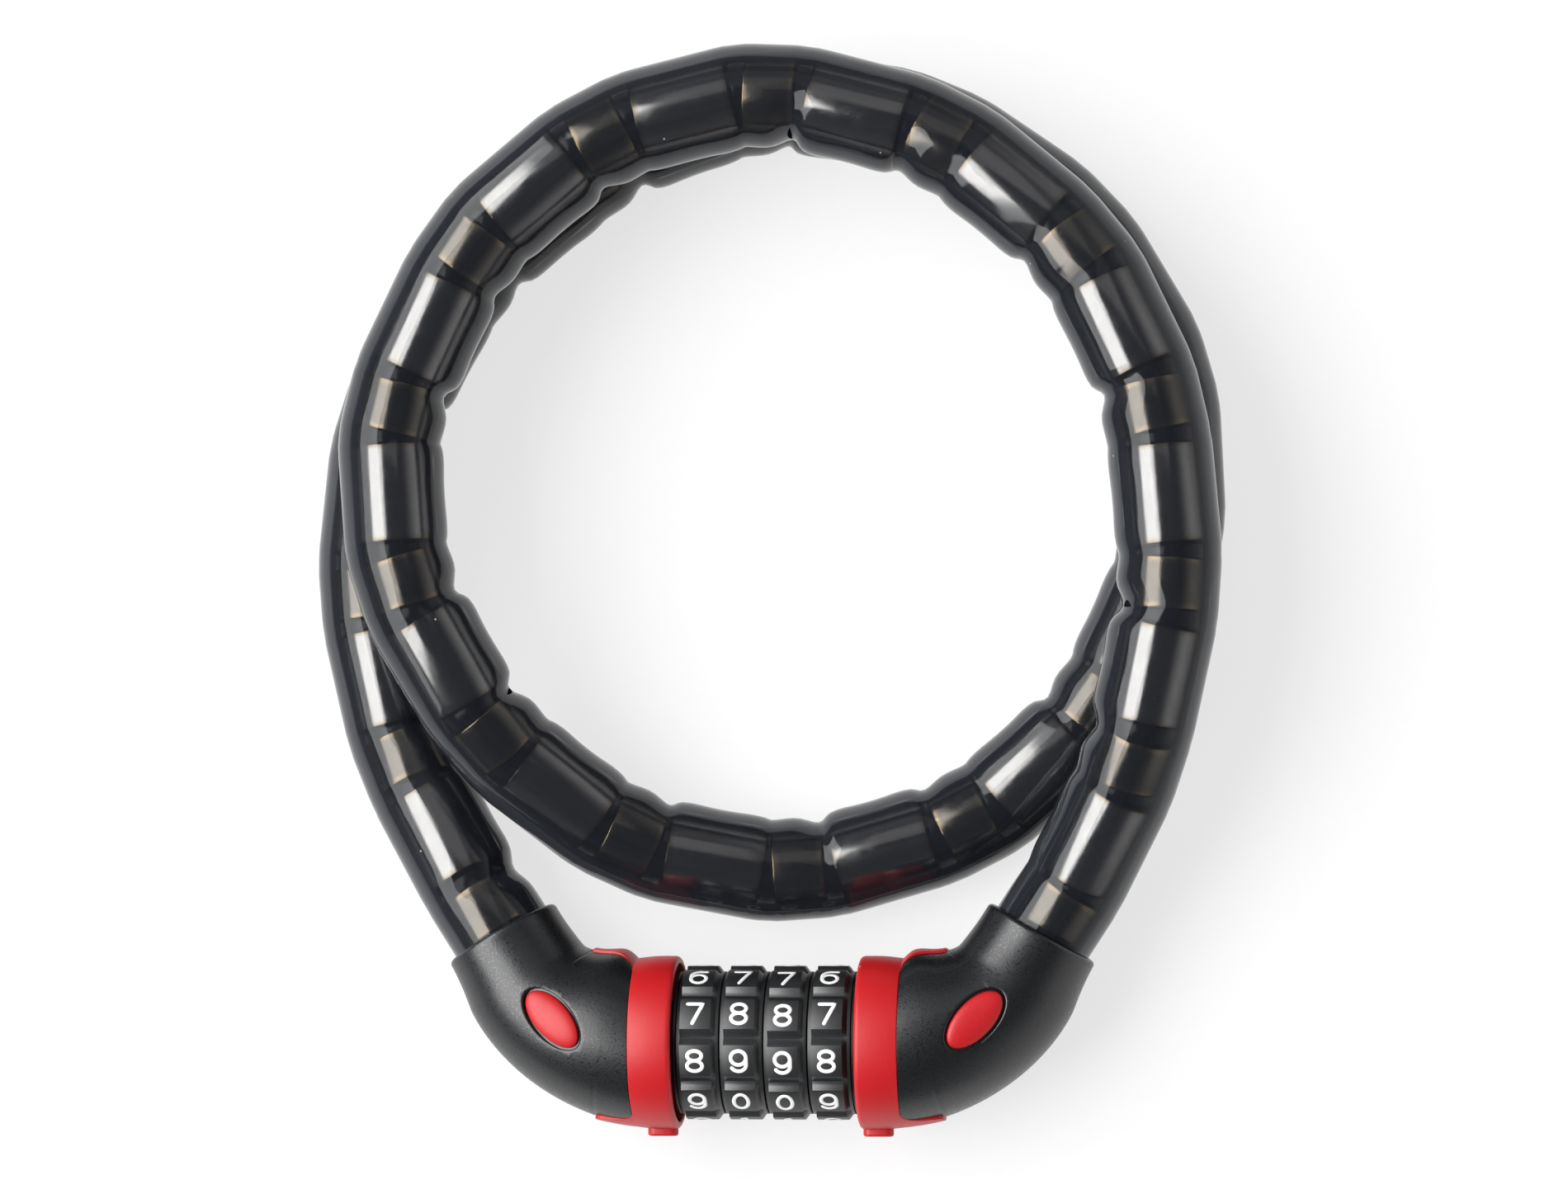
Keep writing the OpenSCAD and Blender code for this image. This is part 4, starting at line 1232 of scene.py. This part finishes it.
# %% Floor
FLOOR_SIZE, FLOOR_Z, PLAIN_WHITE = 6, -0.1 * MM, 0.72
bpy.ops.mesh.primitive_plane_add(size=FLOOR_SIZE, location=(0, 0, FLOOR_Z))
floor = named("floor")
white, tree, shader = finish("white_table", Base_Color=linear(235, 235, 235), Roughness=0.9)
paper = add(tree, "TexNoise", "paper", Vector=add(tree, "TexCoord").outputs["Object"],
            Scale=300.0, Detail=3.0)
feed(tree, shader, Base_Color=mixed(tree, paper, linear(232, 232, 232), linear(240, 240, 240)))
ray = add(tree, "LightPath").outputs
seen = reckon(tree, "MAXIMUM", reckon(tree, "MAXIMUM", ray["Is Camera Ray"], ray["Is Glossy Ray"]),
              ray["Is Transmission Ray"])
share = reckon(tree, "MULTIPLY", seen, PLAIN_WHITE)
plain_white = add(tree, "Emission", Color=(1, 1, 1, 1), Strength=1.0)
both = add(tree, "MixShader", n0=share, n1=shader, n2=plain_white)
feed(tree, tree.nodes["Material Output"], Surface=both)
floor.data.materials.append(white)
print("floor:", floor.name, "in", white.name)

# %% World
world = bpy.data.worlds.new("studio")
bpy.context.scene.world = world
world.use_nodes = True
sky = world.node_tree
sky.nodes.clear()
towards = add(sky, "SeparateXYZ", Vector=add(sky, "TexCoord").outputs["Generated"])
low = add(sky, "MapRange", "brighter on the right", Value=towards, interpolation_type="SMOOTHSTEP",
          From_Min=0.2, From_Max=0.9, To_Min=0.2, To_Max=1.0)
level = add(sky, "MapRange", "bright low, dark above", Value=towards.outputs["Z"],
            interpolation_type="SMOOTHSTEP", From_Min=0.15, From_Max=0.8, To_Min=low, To_Max=0.09)
camera_sees = add(sky, "LightPath").outputs["Is Camera Ray"]
strength = add(sky, "Mix", data_type="FLOAT", n0=camera_sees, n2=level, n3=1.0)
glow = add(sky, "Background", Color=(1, 1, 1, 1), Strength=strength)
add(sky, "OutputWorld", Surface=glow)
print("world:", world.name, "with", len(sky.nodes), "nodes")


# %% Lamps
def soft_lamp(name, place, target, size, radiance, shows=True):
    """An area lamp whose face has the given radiance, where 1 is white."""
    lamp = bpy.data.lights.new(name, "AREA")
    lamp.shape, lamp.size, lamp.size_y = "RECTANGLE", size[0], size[1]
    lamp.energy = radiance * pi * size[0] * size[1]
    obj = new_object(name, lamp)
    aim(obj, Vector(place), Vector(target))
    obj.visible_glossy = shows
    return obj


stripe = soft_lamp("stripe_lamp", (-1.0, 0.2, 1.8), (0, 0.2, 1.8), (2.4, 2.0), 7.6)
back = soft_lamp("back_lamp", (0.1, 1.0, 1.6), (0, 0, 0), (1.5, 1.15), 0.45)
fill = soft_lamp("fill_lamp", (0.3, -0.2, 2.2), (0, 0, 0), (2.4, 2.4), 0.3, shows=False)
print("lamps:", stripe.name, back.name, fill.name)
